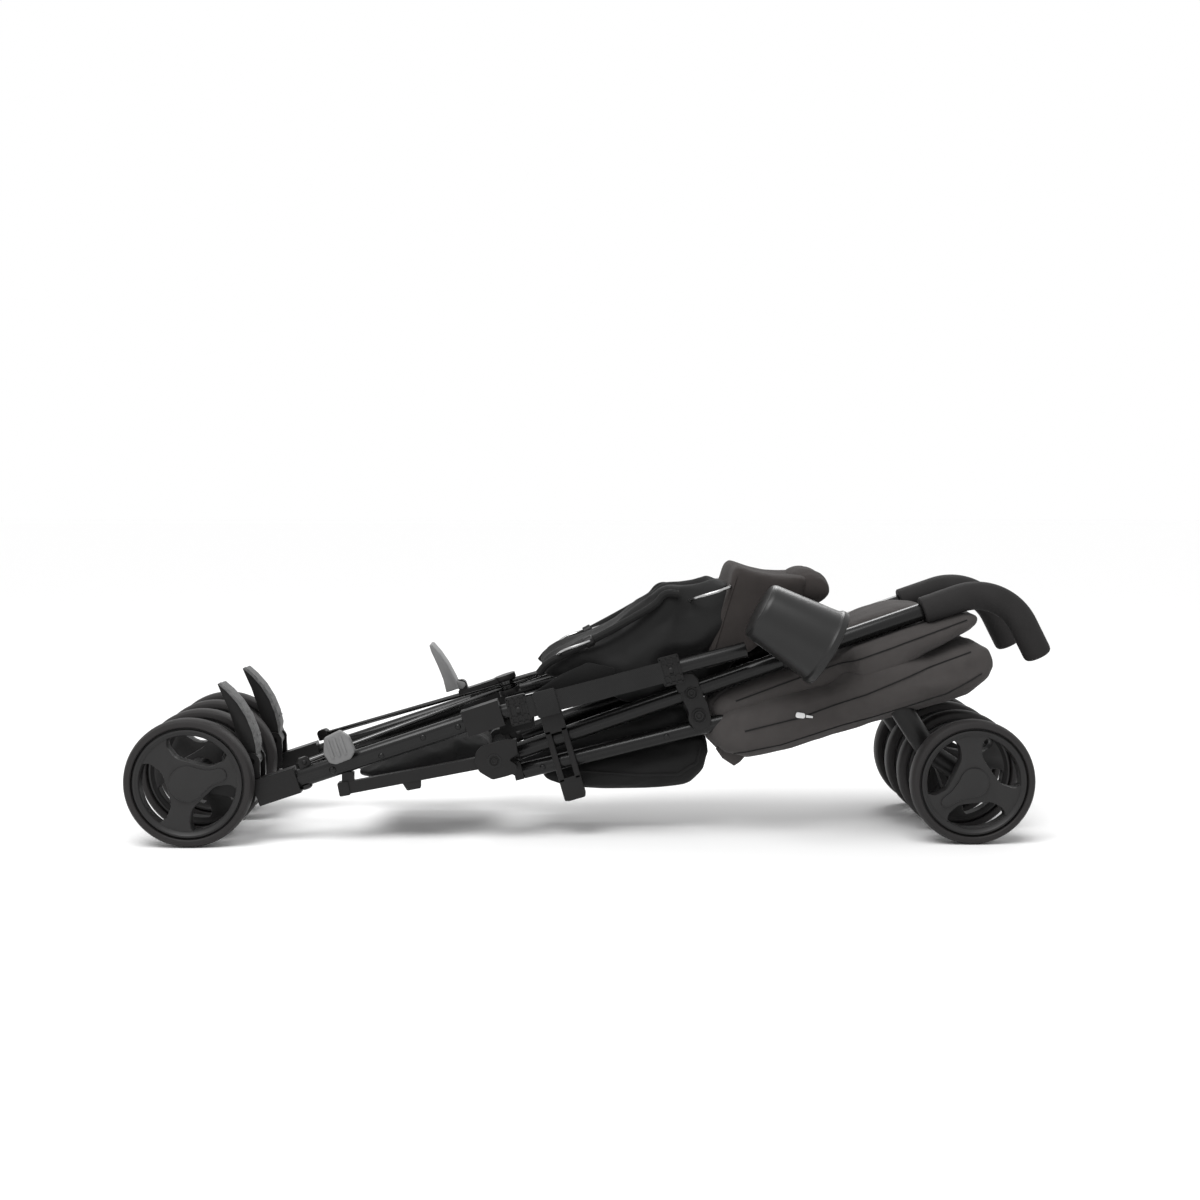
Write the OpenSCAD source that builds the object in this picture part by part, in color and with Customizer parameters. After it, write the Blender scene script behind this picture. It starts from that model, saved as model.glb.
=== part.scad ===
// Umbrella stroller, folded and lying on its wheels. Millimetres, Z up, X towards the casters and
// the handles, Y to the left of the person who pushes. Side points are [x, z] from the rear axle's floor point.

/* [Wheels] */
// Diameter of a rear wheel
rear_wheel_d = 147; // [120:1:180]
// Diameter of a front wheel
front_wheel_d = 143; // [120:1:170]
// Width of a wheel
wheel_w = 25; // [18:1:30]
// Radial thickness of a tyre
tyre_t = 17; // [10:0.5:22]
// Distance between the two wheels of a pair, middle to middle
twin_spacing = 76; // [72:1:84]
// Distance from the middle plane to the middle of a wheel pair
pair_y = 76; // [74:1:90]
// Distance from the rear axle to the front axle, folded
wheelbase = 892; // [850:1:940]
// Diameter of an axle
axle_d = 10; // [8:0.5:12]
// Diameter of a wheel's hub
hub_d = 34; // [26:1:44]
// Width of a wheel spoke
spoke_w = 24; // [14:1:30]
// Radial thickness of the rim ring
rim_t = 9; // [6:0.5:12]
// Diameter of a wheel's hub cover
hub_cover_d = 42; // [36:1:50]

/* [Rear frame] */
// Foot of the rear leg, forward of the rear axle
leg_foot_x = 78; // [74:1:90]
// Height of the rear leg's foot above the floor
leg_foot_z = 59; // [50:1:66]
// Slope of the rear leg, folded
leg_tilt = 18.3; // [16:0.1:20]
// Length of the rear leg
leg_l = 262; // [240:1:280]
// Height of the rear leg's oval section
leg_h = 22; // [20:0.5:24]
// Width of the rear leg's oval section
leg_w = 16; // [12:0.5:16]
// Distance from the middle plane to the rear leg
leg_y = 90; // [89:0.5:94]
// Slope of the main tube, folded
main_tilt = 14.5; // [12:0.1:17]
// Length of the main tube
main_l = 312; // [280:1:320]
// Diameter of the main tube
main_d = 18; // [14:0.5:18]
// Wall of all tubes
tube_wall = 1.5; // [1:0.1:2]
// Main hinge, forward of the rear axle
hinge_x = 345; // [335:1:352]
// Height of the main hinge
hinge_z = 94; // [90:1:98]
// Diameter of the main hinge pin
hinge_pin_d = 8; // [6:0.5:10]
// Diameter of the hinge eyes
hinge_eye_d = 26; // [20:1:26]
// Length of the hinge bar under the rear leg
hinge_bar_l = 178; // [165:1:190]
// Slope of the hinge bar
hinge_bar_tilt = 10.6; // [9:0.1:12]
// Distance along the leg to the cross hub
hub_s = 300; // [294:1:310]
// Length of a cross bar below the hub
cross_low_l = 260; // [240:1:262]
// Length of a cross bar above the hub
cross_high_l = 100; // [70:1:104]
// Half angle between the cross bars, folded
cross_angle = 19.8; // [17:0.1:20]
// Width of a cross bar
cross_w = 12; // [8:0.5:14]
// Thickness of a cross bar
cross_t = 5; // [3:0.5:5]

/* [Pusher] */
// Start of the pusher tube, forward of the rear axle
pusher_x = 372; // [370:1:378]
// Height of the pusher tube's start
pusher_z = 100; // [99:0.5:104]
// Slope of the pusher tube, folded
pusher_tilt = 19.1; // [18.5:0.1:20]
// Length of the pusher tube
pusher_l = 497; // [470:1:510]
// Diameter of the pusher tube
pusher_d = 20; // [16:0.5:20]
// Distance from the middle plane to the pusher and the front leg
inner_y = 66; // [62:0.5:66]
// Diameter of the foam grip
grip_d = 33; // [26:1:36]
// Straight length of the grip before its bend
grip_start_l = 45; // [35:1:55]
// Radius of the grip's bend
grip_bend_r = 62; // [55:1:70]
// Turn of the grip's bend
grip_turn = 82; // [60:1:95]
// Straight length of the grip after its bend
grip_end_l = 42; // [30:1:55]

/* [Cup holder] */
// Outer diameter of the cup holder's base
cup_base_d = 66; // [65:1:72]
// Outer diameter of the cup holder at its mouth
cup_mouth_d = 88; // [80:1:92]
// Length of the cup holder
cup_l = 92; // [80:1:100]
// Diameter of the space for a cup
cup_bore_d = 61; // [56:0.5:62]
// Thickness of the cup holder's floor
cup_floor_t = 4; // [2:0.5:6]
// Distance from the middle plane to the cup's middle
cup_y = 126; // [125:1:128]
// Slope of the cup holder, mouth downwards
cup_tilt = 29.4; // [25:0.1:34]

/* [Front frame] */
// Start of the front leg, forward of the rear axle
front_x = 377; // [375:1:380]
// Height of the front leg's start
front_z = 77; // [74:0.5:78]
// Slope of the front leg, folded
front_tilt = 13.8; // [13:0.1:14.2]
// Length from the front leg's start to the caster socket's axis
front_l = 430; // [420:1:440]
// Diameter of the front leg's tube
front_d = 19; // [15:0.5:19]
// Slope of the caster's swivel axis from the floor
swivel_tilt = 56.5; // [52:0.1:60]
// Distance between the swivel axis and the front axle
trail = 20; // [15:1:22]
// Diameter of the caster's king pin
king_d = 12; // [8:0.5:14]
// Outer diameter of the caster socket
socket_d = 30; // [26:1:32]

/* [Cloth] */
// Length of the folded canopy
canopy_l = 332; // [300:1:340]
// Depth of the folded canopy below the pusher
canopy_h = 83; // [70:1:86]
// Length of the folded seat back cloth
back_l = 190; // [180:1:192]
// Height of the folded seat back cloth
back_h = 115; // [100:1:120]
// Length of the seat back's top
top_l = 131; // [120:1:140]
// Length of the folded seat sling
sling_l = 160; // [140:1:164]
// Length of the folded basket
basket_l = 190; // [170:1:196]
// Depth of the folded basket
basket_h = 46; // [36:1:50]

/* [Hidden] */
$fn = 48;

// Clearances and overrun
fit = 0.05;
soft_gap = 0.3;
play = 0.3;
seat = 1;
cut = 1;

// Sides of the stroller
right = -1;
left = 1;

// Places that follow from the sizes
rear_axle = [0, rear_wheel_d / 2];
front_axle = [wheelbase, front_wheel_d / 2];
hinge = [hinge_x, hinge_z];
leg_foot = [leg_foot_x, leg_foot_z];
pusher_start = [pusher_x, pusher_z];
front_start = [front_x, front_z];
function step(a, angle, s, n) =
  [a[0] + s * cos(angle) - n * sin(angle), a[1] + s * sin(angle) + n * cos(angle)];
function on_leg(s, n) = step(leg_foot, leg_tilt, s, n);
function on_pusher(s, n) = step(pusher_start, pusher_tilt, s, n);
function on_front(s, n) = step(front_start, front_tilt, s, n);
sleeve_gap = 6;
main_start = on_leg(leg_l + sleeve_gap, 0);
function on_main(s, n) = step(main_start, main_tilt, s, n);
swivel_foot = step(front_axle, -swivel_tilt, 0, -trail);
function on_swivel(s) = step(swivel_foot, 180 - swivel_tilt, s, 0);

// Overall reach, which centres the model over its origin
grip_end = [grip_start_l + grip_bend_r * sin(grip_turn) + grip_end_l * cos(grip_turn),
  -grip_bend_r * (1 - cos(grip_turn)) - grip_end_l * sin(grip_turn)];
grip_reach = on_pusher(pusher_l + grip_end[0], grip_end[1])[0]
  + grip_d / 2 * sin(grip_turn - pusher_tilt);
middle_x = (grip_reach - rear_wheel_d / 2) / 2;
cup_rim_t = 2;
cup_reach = cup_y + cup_mouth_d / 2 + cup_rim_t;
wheel_reach = pair_y + (twin_spacing + wheel_w) / 2;
middle_y = (cup_reach - wheel_reach) / 2;

// Hinge stack across the frame
pusher_eye_w = 10;
ear_t = 4.5;
ear_gap = 0.5;
ear_in = inner_y - pusher_eye_w / 2 - ear_gap;
ear_out = inner_y + pusher_eye_w / 2 + ear_gap;
bar_w = 10;
bar_h = 14;
bar_eye_w = 12;
pin_head_d = 16;
pin_head_t = 2.7;

// Wheel details
rim_edge = 3;
spoke_inset = 7;
spoke_count = 3;
cover_t = 3;
lobe_l_share = 0.62;
lobe_w_share = 0.62;

// Housing, pedals and levers
housing_w = 38;
housing_boss_d = 36;
housing_gap = 1.5;
housing_h = 22;
socket_back = 6;
socket_l = 44;
socket_wall = 4;
socket_side = 3;
cheek_t = 4;
cheek_w = 20;
pedal_pivot = on_leg(0, 36);
pedal_pin_d = 8;
pedal_hub_d = 16;
pedal_l = 92;
pedal_w = 24;
pedal_t = 7;
pedal_lean = 110;
hub_disc_d = 26;
hub_disc_t = 6;
cross_low_n = leg_h / 2 + 2;
cross_gap = 0.5;
foot_d = 10;
foot_gap = 0.6;
fold_arm_l = 58;
fold_arm_w = 18;
fold_arm_t = 5;
fold_ear_w = 12;
fold_ear_h = 15;
fold_relief = 2;
fold_pin_d = 6;
fold_pad_h = 58;
fold_pad_w = 36;
fold_pad_t = 6;
fold_cheek_t = 4;
fold_cheek_h = 10;
lever_s = 101;
lever_n = 12;
lever_l = 30;
lever_h = 34;
lever_w = 13;
lever_pin_d = 12;
rib_w = 3;
rib_deep = 2;
rib_count = 4;
hook_s = 75;
hook_ring_l = 16;
hook_wall = 4;
hook_lean = 73.8;
hook_l = 114;
hook_w = 26;
hook_t = 6;
slot_w = 10;
slot_from = 38;
slot_to = 90;
hook_foot_l = 16;
hook_foot_w = 12;
anchor_from = 42;
anchor_to = 222;
anchor_l = 20;
anchor_h = 34;
anchor_t = 7.5;
strap_t = 2;
strap_h = 24;

// Brackets and clamp on the pusher
bracket_s = 212;
bracket_w = 24;
bracket_up = 12;
bracket_down = 40;
bracket_t = 2.7;
bolt_d = 12;
bolt_head_t = 1.4;
bolt_drop = 28;
cup_s = main_l + seat;
clamp_s = cup_s + 23;
clamp_l = 24;
clamp_wall = 2;
clamp_arm_d = 14;
clamp_arm_n = 10;
clamp_arm_from = 73;
clamp_arm_to = 95;
cup_base = on_pusher(cup_s, 72);
cup_band_l = 8;
knuckle_arm_h = 16;
plug_l = 26;
plug_gap = 0.1;
handle_plug_l = 40;
grip_cap_t = 5;
grip_cap_d = grip_d - 8;

// Caster
socket_from = 118;
socket_to = 168;
king_top = 158;
stem_d = 26;
stem_from = 46;
adaptor_l = 26;
adaptor_wall = 3;
fork_boss_d = 30;
ear_arm_h = 16;
front_block_l = 10;

// Cloth outlines, as shares of each cloth's length and height
back_s = 118;
back_clear_r = 155;
back_arc_from = 3;
back_arc_to = 41;
back_arc_step = 5;
back_top_gap = 2;
top_s = 268;
top_n = 12.6;
canopy_s = 218;
canopy_n = 13;
side_in = inner_y + pusher_d / 2 + soft_gap;
side_t = 3;
sling_s = 45;
sling_h = 22;
sling_n = 6;
basket_s = 28;
back_y = 72;
back_shares = [[0.79, 0], [0.985, 0.99], [0.8, 1], [0.385, 0.965]];
top_shares = [[0.01, 0], [0.58, 0], [0.75, 0.18], [0.97, 0.42], [1, 0.6], [0.83, 0.79], [0.36, 0.99], [0.3, 0.99]];
canopy_upper_shares = [[0, 0], [0.96, 0], [0.99, 0.05], [1, 0.12], [0.99, 0.22], [0.95, 0.28], [0, 0.5]];
canopy_lower_shares = [[0, 0.3], [0.93, 0.36], [0.975, 0.45], [0.995, 0.62], [0.985, 0.8], [0.95, 0.95],
  [0.9, 0.99], [0.08, 0.74], [0, 0.45]];
side_shares = [[0.06, -0.16], [0.3, -0.16], [0.33, 0.06], [0.52, 0.06], [0.52, 0.45], [0.06, 0.62]];
sling_shares = [[0, 0.2], [1, 0], [1, 1], [0, 0.9]];
basket_shares = [[0, 0], [0.96, 0], [1, 0.25], [0.94, 0.9], [0.8, 1], [0.18, 0.48]];

// Moves a piece from the rear axle's floor point to the model's frame
module placed() { translate([-middle_x, middle_y, 0]) children(); }

// Mirrors a left piece to the right side
module sided(side) { if (side < 0) mirror([0, 1, 0]) children(); else children(); }

// A frame whose X runs up the slope from a side point
module along(a, angle, y) { translate([a[0], y, a[1]]) rotate([0, -angle, 0]) children(); }

module rod_x(from, to, d) { translate([from, 0, 0]) rotate([0, 90, 0]) cylinder(h = to - from, d = d); }

module cross_pin(a, from, to, d) {
  translate([a[0], from, a[1]]) rotate([-90, 0, 0]) cylinder(h = to - from, d = d);
}

module block(x0, x1, y0, y1, z0, z1) { translate([x0, y0, z0]) cube([x1 - x0, y1 - y0, z1 - z0]); }

// A hollow round tube along X
module round_tube(l, d) {
  difference() {
    rod_x(0, l, d);
    rod_x(-cut, l + cut, d - 2 * tube_wall);
  }
}

module oval(w, h) {
  square([w, h - w], center = true);
  for (end = [-1, 1]) translate([0, end * (h - w) / 2]) circle(d = w);
}

module oval_rod(from, to, w, h) {
  translate([from, 0, 0]) rotate([90, 0, 90]) linear_extrude(to - from) oval(w, h);
}

// A cloth solid from its outline, which lies in the slope's plane
module cloth(shares, l, h, half_w) {
  rotate([90, 0, 0]) linear_extrude(2 * half_w, center = true)
    polygon([for (p = shares) [p[0] * l, p[1] * h]]);
}

// Rear frame

module rear_leg(side) {
  color("#26272a") sided(side) along(leg_foot, leg_tilt, leg_y) difference() {
    oval_rod(0, leg_l, leg_w, leg_h);
    oval_rod(-cut, leg_l + cut, leg_w - 2 * tube_wall, leg_h - 2 * tube_wall);
  }
}

module leg_sleeve(side) {
  color("#1c1c1e") sided(side) difference() {
    along(leg_foot, leg_tilt, leg_y)
      block(leg_l - hook_ring_l, leg_l + 2 * sleeve_gap + hook_ring_l,
        -leg_w / 2 - socket_side, leg_w / 2 + socket_side, -leg_h / 2 - socket_wall, leg_h / 2 + socket_wall);
    along(leg_foot, leg_tilt, leg_y) oval_rod(0, leg_l, leg_w + 2 * fit, leg_h + 2 * fit);
    along(main_start, main_tilt, leg_y) rod_x(0, main_l, main_d + 2 * fit);
  }
}

module main_tube(side) {
  color("#2b2c2f") sided(side) along(main_start, main_tilt, leg_y) round_tube(main_l, main_d);
}

module axle_housing(side) {
  reach = norm(on_leg(-socket_back, 0) - rear_axle);
  fall = atan2(on_leg(-socket_back, 0)[1] - rear_axle[1], on_leg(-socket_back, 0)[0] - rear_axle[0]);
  gap_half = (twin_spacing - wheel_w) / 2 - housing_gap;
  color("#1d1d1f") sided(side) difference() {
    union() {
      cross_pin(rear_axle, pair_y - gap_half, pair_y + gap_half, housing_boss_d);
      along(rear_axle, fall, pair_y)
        block(0, reach, -housing_w / 2, housing_w / 2, -housing_h / 2, housing_h / 2);
      along(leg_foot, leg_tilt, leg_y)
        block(-socket_back, socket_l, -leg_w / 2 - socket_side, leg_w / 2 + socket_side,
          -leg_h / 2 - socket_wall, leg_h / 2 + socket_wall);
      for (y = [pair_y - housing_w / 2, pair_y + housing_w / 2 - cheek_t]) {
        cross_pin(pedal_pivot, y, y + cheek_t, cheek_w);
        block(pedal_pivot[0] - cheek_w / 2, pedal_pivot[0] + cheek_w / 2, y, y + cheek_t,
          leg_foot_z, pedal_pivot[1]);
      }
    }
    cross_pin(rear_axle, 0, 2 * pair_y, axle_d + 2 * fit);
    cross_pin(pedal_pivot, 0, 2 * pair_y, pedal_pin_d + 2 * fit);
    along(leg_foot, leg_tilt, leg_y) oval_rod(0, leg_l, leg_w + 2 * fit, leg_h + 2 * fit);
  }
}

module axle_pin(a, side) {
  half = (twin_spacing + wheel_w) / 2 - cover_t;
  color("silver") sided(side) cross_pin(a, pair_y - half, pair_y + half, axle_d);
}

// Two wheels on one axle, each with three spokes and a lobed hub cover on its outer face
module rims(a, d, side) {
  ring_d = d - 2 * tyre_t - 2 * fit;
  ring_w = wheel_w - rim_edge;
  color("#2a2b2d") sided(side) for (twin = [-1, 1]) translate([a[0], pair_y + twin * twin_spacing / 2, a[1]])
    rotate([-90 * twin, 0, 0]) difference() {
      union() {
        difference() {
          cylinder(h = ring_w, d = ring_d, center = true);
          cylinder(h = ring_w + cut, d = ring_d - 2 * rim_t, center = true);
        }
        cylinder(h = wheel_w - 2 * cover_t, d = hub_d, center = true);
        translate([0, 0, wheel_w / 2 - cover_t - seat]) cylinder(h = cover_t + seat, d = hub_cover_d);
        for (k = [0 : spoke_count - 1]) rotate([0, 0, 90 + k * 360 / spoke_count])
          translate([0, -spoke_w / 2, -ring_w / 2 + spoke_inset / 2])
            cube([ring_d / 2 - rim_t / 2, spoke_w, ring_w - spoke_inset]);
        rotate([0, 0, 90]) translate([0, -spoke_w * lobe_w_share / 2, 0])
          cube([ring_d / 2 * lobe_l_share, spoke_w * lobe_w_share, wheel_w / 2 - seat]);
      }
      translate([0, 0, -wheel_w]) cylinder(h = 3 * wheel_w / 2 - cover_t, d = axle_d + 2 * fit);
    }
}

module tyres(a, d, side) {
  color("#161616") sided(side) for (twin = [-1, 1])
    translate([a[0], pair_y + twin * twin_spacing / 2, a[1]]) rotate([-90, 0, 0])
      rotate_extrude() translate([(d - tyre_t) / 2, 0]) {
        square([tyre_t, wheel_w - tyre_t], center = true);
        for (end = [-1, 1]) translate([0, end * (wheel_w - tyre_t) / 2]) circle(d = tyre_t);
      }
}

module brake_pedal(side) {
  inside = housing_w / 2 - cheek_t - play;
  color("#6f7072") sided(side) {
    cross_pin(pedal_pivot, pair_y - housing_w / 2, pair_y + housing_w / 2, pedal_pin_d);
    cross_pin(pedal_pivot, pair_y - inside, pair_y + inside, pedal_hub_d);
    along(pedal_pivot, pedal_lean, pair_y) {
      block(0, pedal_l - pedal_w / 2, -pedal_w / 2, pedal_w / 2, -pedal_t / 2, pedal_t / 2);
      translate([pedal_l - pedal_w / 2, 0, -pedal_t / 2]) cylinder(h = pedal_t, d = pedal_w);
    }
  }
}

module hinge_bar(side) {
  post_x = step(hinge, hinge_bar_tilt, -hinge_bar_l + bar_h / 2, 0);
  post_top = leg_foot_z + (post_x[0] - leg_foot_x) * tan(leg_tilt) - leg_h / 2 / cos(leg_tilt) + seat;
  color("#222326") sided(side) difference() {
    union() {
      cross_pin(hinge, leg_y - bar_eye_w / 2, leg_y + bar_eye_w / 2, hinge_eye_d);
      along(hinge, hinge_bar_tilt, leg_y) block(-hinge_bar_l, 0, -bar_w / 2, bar_w / 2, -bar_h / 2, bar_h / 2);
      block(post_x[0] - bar_h / 2, post_x[0] + bar_h / 2, leg_y - bar_w / 2 + seat, leg_y + bar_w / 2 - seat,
        post_x[1], post_top);
    }
    cross_pin(hinge, 0, 2 * leg_y, hinge_pin_d + 2 * fit);
  }
}

module hinge_pin(side) {
  color("#8a8a8a") sided(side) {
    cross_pin(hinge, ear_in - ear_t - play - pin_head_t, leg_y + bar_eye_w / 2 + play + pin_head_t, hinge_pin_d);
    cross_pin(hinge, ear_in - ear_t - play - pin_head_t, ear_in - ear_t - play, pin_head_d);
    cross_pin(hinge, leg_y + bar_eye_w / 2 + play, leg_y + bar_eye_w / 2 + play + pin_head_t, pin_head_d);
    cross_pin(hinge, ear_out + ear_t + play, leg_y - bar_eye_w / 2 - play, pin_head_d);
  }
}

// Pivot of the two cross bars, with the ear that carries the fold pedal
module cross_hub() {
  top = cross_low_n + 2 * cross_t + 2 * cross_gap;
  color("#1d1d1f") along(on_leg(hub_s, 0), leg_tilt, 0) difference() {
    union() {
      translate([0, 0, cross_low_n - cross_gap - hub_disc_t]) cylinder(h = hub_disc_t, d = hub_disc_d);
      translate([0, 0, cross_low_n - cross_gap - seat])
        cylinder(h = top - cross_low_n + cross_gap + 2 * seat, d = hinge_pin_d);
      translate([0, 0, top]) cylinder(h = hub_disc_t, d = hub_disc_d);
      block(-fold_arm_l, 0, -fold_arm_w / 2, fold_arm_w / 2, top, top + fold_arm_t);
      block(-fold_arm_l + fold_relief, -fold_arm_l + fold_ear_w, -fold_ear_w / 2, fold_ear_w / 2, top,
        fold_pin_n());
      cross_pin([fold_pin_x(), fold_pin_n()], -fold_ear_w / 2, fold_ear_w / 2, fold_ear_w);
    }
    fold_pin(fold_pin_d + 2 * fit);
  }
}

// Place of the fold pedal's pin, in the frame of the cross hub
function fold_pin_x() = -fold_arm_l + fold_ear_w / 2;
function fold_pin_n() = cross_low_n + 2 * cross_t + 2 * cross_gap + fold_ear_h - fold_pin_d / 2 - seat;

// Pin of the fold pedal, in the frame of the cross hub
module fold_pin(d) {
  half = fold_ear_w / 2 + play + fold_cheek_t;
  cross_pin([fold_pin_x(), fold_pin_n()], -half, half, d);
}

module fold_pedal() {
  pin_x = fold_pin_x();
  pin_n = fold_pin_n();
  pad_x = pin_x - fold_ear_w / 2 - fold_pad_t - play;
  inner = fold_ear_w / 2 + play;
  color("#77787a") along(on_leg(hub_s, 0), leg_tilt, 0) {
    fold_pin(fold_pin_d);
    for (side = [-1, 1]) sided(side) {
      cross_pin([pin_x, pin_n], inner, inner + fold_cheek_t, fold_cheek_h);
      block(pad_x, pin_x, inner, inner + fold_cheek_t, pin_n, pin_n + fold_cheek_h / 2);
    }
    block(pad_x, pad_x + fold_pad_t, -fold_pad_w / 2, fold_pad_w / 2, pin_n, pin_n + fold_pad_h - fold_pad_w / 2);
    translate([pad_x, 0, pin_n + fold_pad_h - fold_pad_w / 2]) rotate([0, 90, 0])
      cylinder(h = fold_pad_t, d = fold_pad_w);
  }
}

// A flat bar that turns on the hub, with a foot that slides on the leg at its low end
module cross_bar(side) {
  low = cross_low_n + (side < 0 ? 0 : cross_t + cross_gap);
  color("#4a4b4e") along(on_leg(hub_s, 0), leg_tilt, 0) rotate([0, 0, -side * cross_angle]) difference() {
    union() {
      block(-cross_low_l, cross_high_l, -cross_w / 2, cross_w / 2, low, low + cross_t);
      translate([cross_high_l, 0, low]) cylinder(h = cross_t, d = cross_w);
      translate([-cross_low_l, 0, leg_h / 2 + foot_gap])
        cylinder(h = low + cross_t - leg_h / 2 - foot_gap, d = foot_d);
    }
    cylinder(h = leg_l, d = hinge_pin_d + 2 * fit);
  }
}

module lock_lever() {
  inside = leg_y + leg_w / 2 + play;
  color("#818284") sided(right) along(on_leg(lever_s, lever_n), leg_tilt, 0) {
    cross_pin([0, 0], inside, inside + lever_w, lever_pin_d);
    difference() {
      block(-lever_l / 2, lever_l / 2, inside + seat, inside + lever_w, -lever_pin_d / 2, lever_h - lever_pin_d / 2);
      for (k = [1 : rib_count]) translate([0, 0, lever_pin_d / 2 + k * 2 * rib_w])
        block(-lever_l / 2 - cut, lever_l / 2 + cut, inside + lever_w - rib_deep, inside + lever_w + cut, -rib_w, 0);
    }
  }
}

// Hook that hangs from a ring on the main tube and holds the folded frame
module fold_hook() {
  ring_d = main_d + 2 * hook_wall;
  color("#1b1b1d") sided(right) difference() {
    union() {
      along(on_main(hook_s, 0), main_tilt, leg_y) rod_x(-hook_ring_l / 2, hook_ring_l / 2, ring_d);
      along(on_main(hook_s, 0), -hook_lean, leg_y - ring_d / 2 + 2 * seat) {
        block(0, hook_l, 0, hook_t, -hook_w / 2, hook_w / 2);
        block(hook_l - hook_foot_l / 2, hook_l + hook_foot_l / 2, 0, hook_foot_w, -hook_w / 2, hook_w / 2);
      }
    }
    along(on_main(hook_s, 0), main_tilt, leg_y) rod_x(-hook_l, hook_l, main_d + 2 * fit);
    along(on_main(hook_s, 0), -hook_lean, leg_y - ring_d / 2 + 2 * seat)
      block(slot_from, slot_to, -cut, hook_t + cut, -slot_w / 2, slot_w / 2);
  }
}

module strap_anchors() {
  face = leg_y + main_d / 2 - seat;
  color("#202022") sided(right) for (s = [anchor_from, anchor_to]) along(on_main(s, 0), main_tilt, 0)
    block(-anchor_l / 2, anchor_l / 2, face, face + anchor_t, -anchor_h / 2, anchor_h / 2);
}

module carry_strap() {
  face = leg_y + main_d / 2 + hook_wall + soft_gap;
  color("#161618") sided(right) along(main_start, main_tilt, 0)
    block(anchor_from + anchor_l / 2 + soft_gap, anchor_to - anchor_l / 2 - soft_gap, face, face + strap_t,
      -strap_h / 2, strap_h / 2);
}

// Pusher and back

module pusher_tube(side) {
  color("#2b2c2f") sided(side) along(pusher_start, pusher_tilt, inner_y) round_tube(pusher_l, pusher_d);
}

module pusher_knuckle(side) {
  run = pusher_start - hinge;
  color("#1c1c1e") sided(side) difference() {
    union() {
      cross_pin(hinge, inner_y - pusher_eye_w / 2, inner_y + pusher_eye_w / 2, hinge_eye_d);
      along(hinge, atan2(run[1], run[0]), inner_y)
        block(0, norm(run) - seat, -pusher_eye_w / 2, pusher_eye_w / 2, -knuckle_arm_h / 2, knuckle_arm_h / 2);
      along(pusher_start, pusher_tilt, inner_y)
        rod_x(-pusher_eye_w / 2, plug_l, pusher_d - 2 * tube_wall - 2 * plug_gap);
    }
    cross_pin(hinge, 0, 2 * inner_y, hinge_pin_d + 2 * fit);
  }
}

// Foam grip on a plug that turns in the pusher tube
module handle(side) {
  bend_x = grip_start_l + grip_bend_r * sin(grip_turn);
  bend_z = -grip_bend_r * (1 - cos(grip_turn));
  color("#1e1e20") sided(side) along(on_pusher(pusher_l, 0), pusher_tilt, inner_y) {
    rod_x(-handle_plug_l, grip_start_l, pusher_d - 2 * tube_wall - 2 * plug_gap);
    rod_x(play, grip_start_l, grip_d);
    translate([grip_start_l, 0, -grip_bend_r]) rotate([90, 0, 0]) rotate([0, 0, 90 - grip_turn])
      rotate_extrude(angle = grip_turn) translate([grip_bend_r, 0]) circle(d = grip_d);
    along([bend_x, bend_z], -grip_turn, 0) {
      rod_x(0, grip_end_l - grip_cap_t, grip_d);
      translate([grip_end_l - grip_cap_t, 0, 0]) rotate([0, 90, 0])
        cylinder(h = grip_cap_t, d1 = grip_d, d2 = grip_cap_d);
    }
  }
}

module side_bracket(side) {
  face = inner_y + pusher_d / 2 + play;
  color("#1a1a1c") sided(side) along(on_pusher(bracket_s, 0), pusher_tilt, 0) {
    block(-bracket_w / 2, bracket_w / 2, face, face + bracket_t, -bracket_down, bracket_up);
    cross_pin([0, 0], face - 2 * seat, face + bracket_t + bolt_head_t, bolt_d);
    cross_pin([0, -bolt_drop], face, face + bracket_t + bolt_head_t, bolt_d);
  }
}

module cup_clamp() {
  color("#19191b") sided(right) along(on_pusher(clamp_s, 0), pusher_tilt, 0) difference() {
    union() {
      translate([0, inner_y, 0]) rod_x(-clamp_l / 2, clamp_l / 2, pusher_d + 2 * clamp_wall);
      cross_pin([0, clamp_arm_n], clamp_arm_from, clamp_arm_to, clamp_arm_d);
    }
    translate([0, inner_y, 0]) rod_x(-clamp_l, clamp_l, pusher_d + 2 * fit);
  }
}

module cup_holder() {
  color("#1b1b1d") sided(right) along(cup_base, -cup_tilt, cup_y) rotate([0, 90, 0]) difference() {
    union() {
      cylinder(h = cup_l, d1 = cup_base_d, d2 = cup_mouth_d);
      translate([0, 0, cup_l - cup_band_l]) cylinder(h = cup_band_l, d = cup_mouth_d + 2 * cup_rim_t);
    }
    translate([0, 0, cup_floor_t]) cylinder(h = cup_l, d = cup_bore_d);
  }
}

// Its edge by the hinge is an arc, so that it passes the cross bars when the back swings up
module seat_back() {
  edge = [for (a = [back_arc_to : -back_arc_step : back_arc_from])
    hinge + back_clear_r * [cos(pusher_tilt + a), sin(pusher_tilt + a)]];
  rest = [for (p = back_shares) on_pusher(back_s + p[0] * back_l, pusher_d / 2 + soft_gap + p[1] * back_h)];
  color("#141416") rotate([90, 0, 0]) linear_extrude(2 * back_y, center = true) polygon(concat(edge, rest));
}

module seat_back_top() {
  color("#3a3a3c") along(on_pusher(top_s, top_n), pusher_tilt, 0)
    cloth(top_shares, top_l, back_h - back_top_gap, back_y);
}

module canopy() {
  half = inner_y - front_d / 2 - adaptor_wall - soft_gap;
  color("#3a3a3c") along(on_pusher(canopy_s, -canopy_n), pusher_tilt, 0) {
    cloth(canopy_upper_shares, canopy_l, -canopy_h, half);
    cloth(canopy_lower_shares, canopy_l, -canopy_h, half);
  }
}

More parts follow.
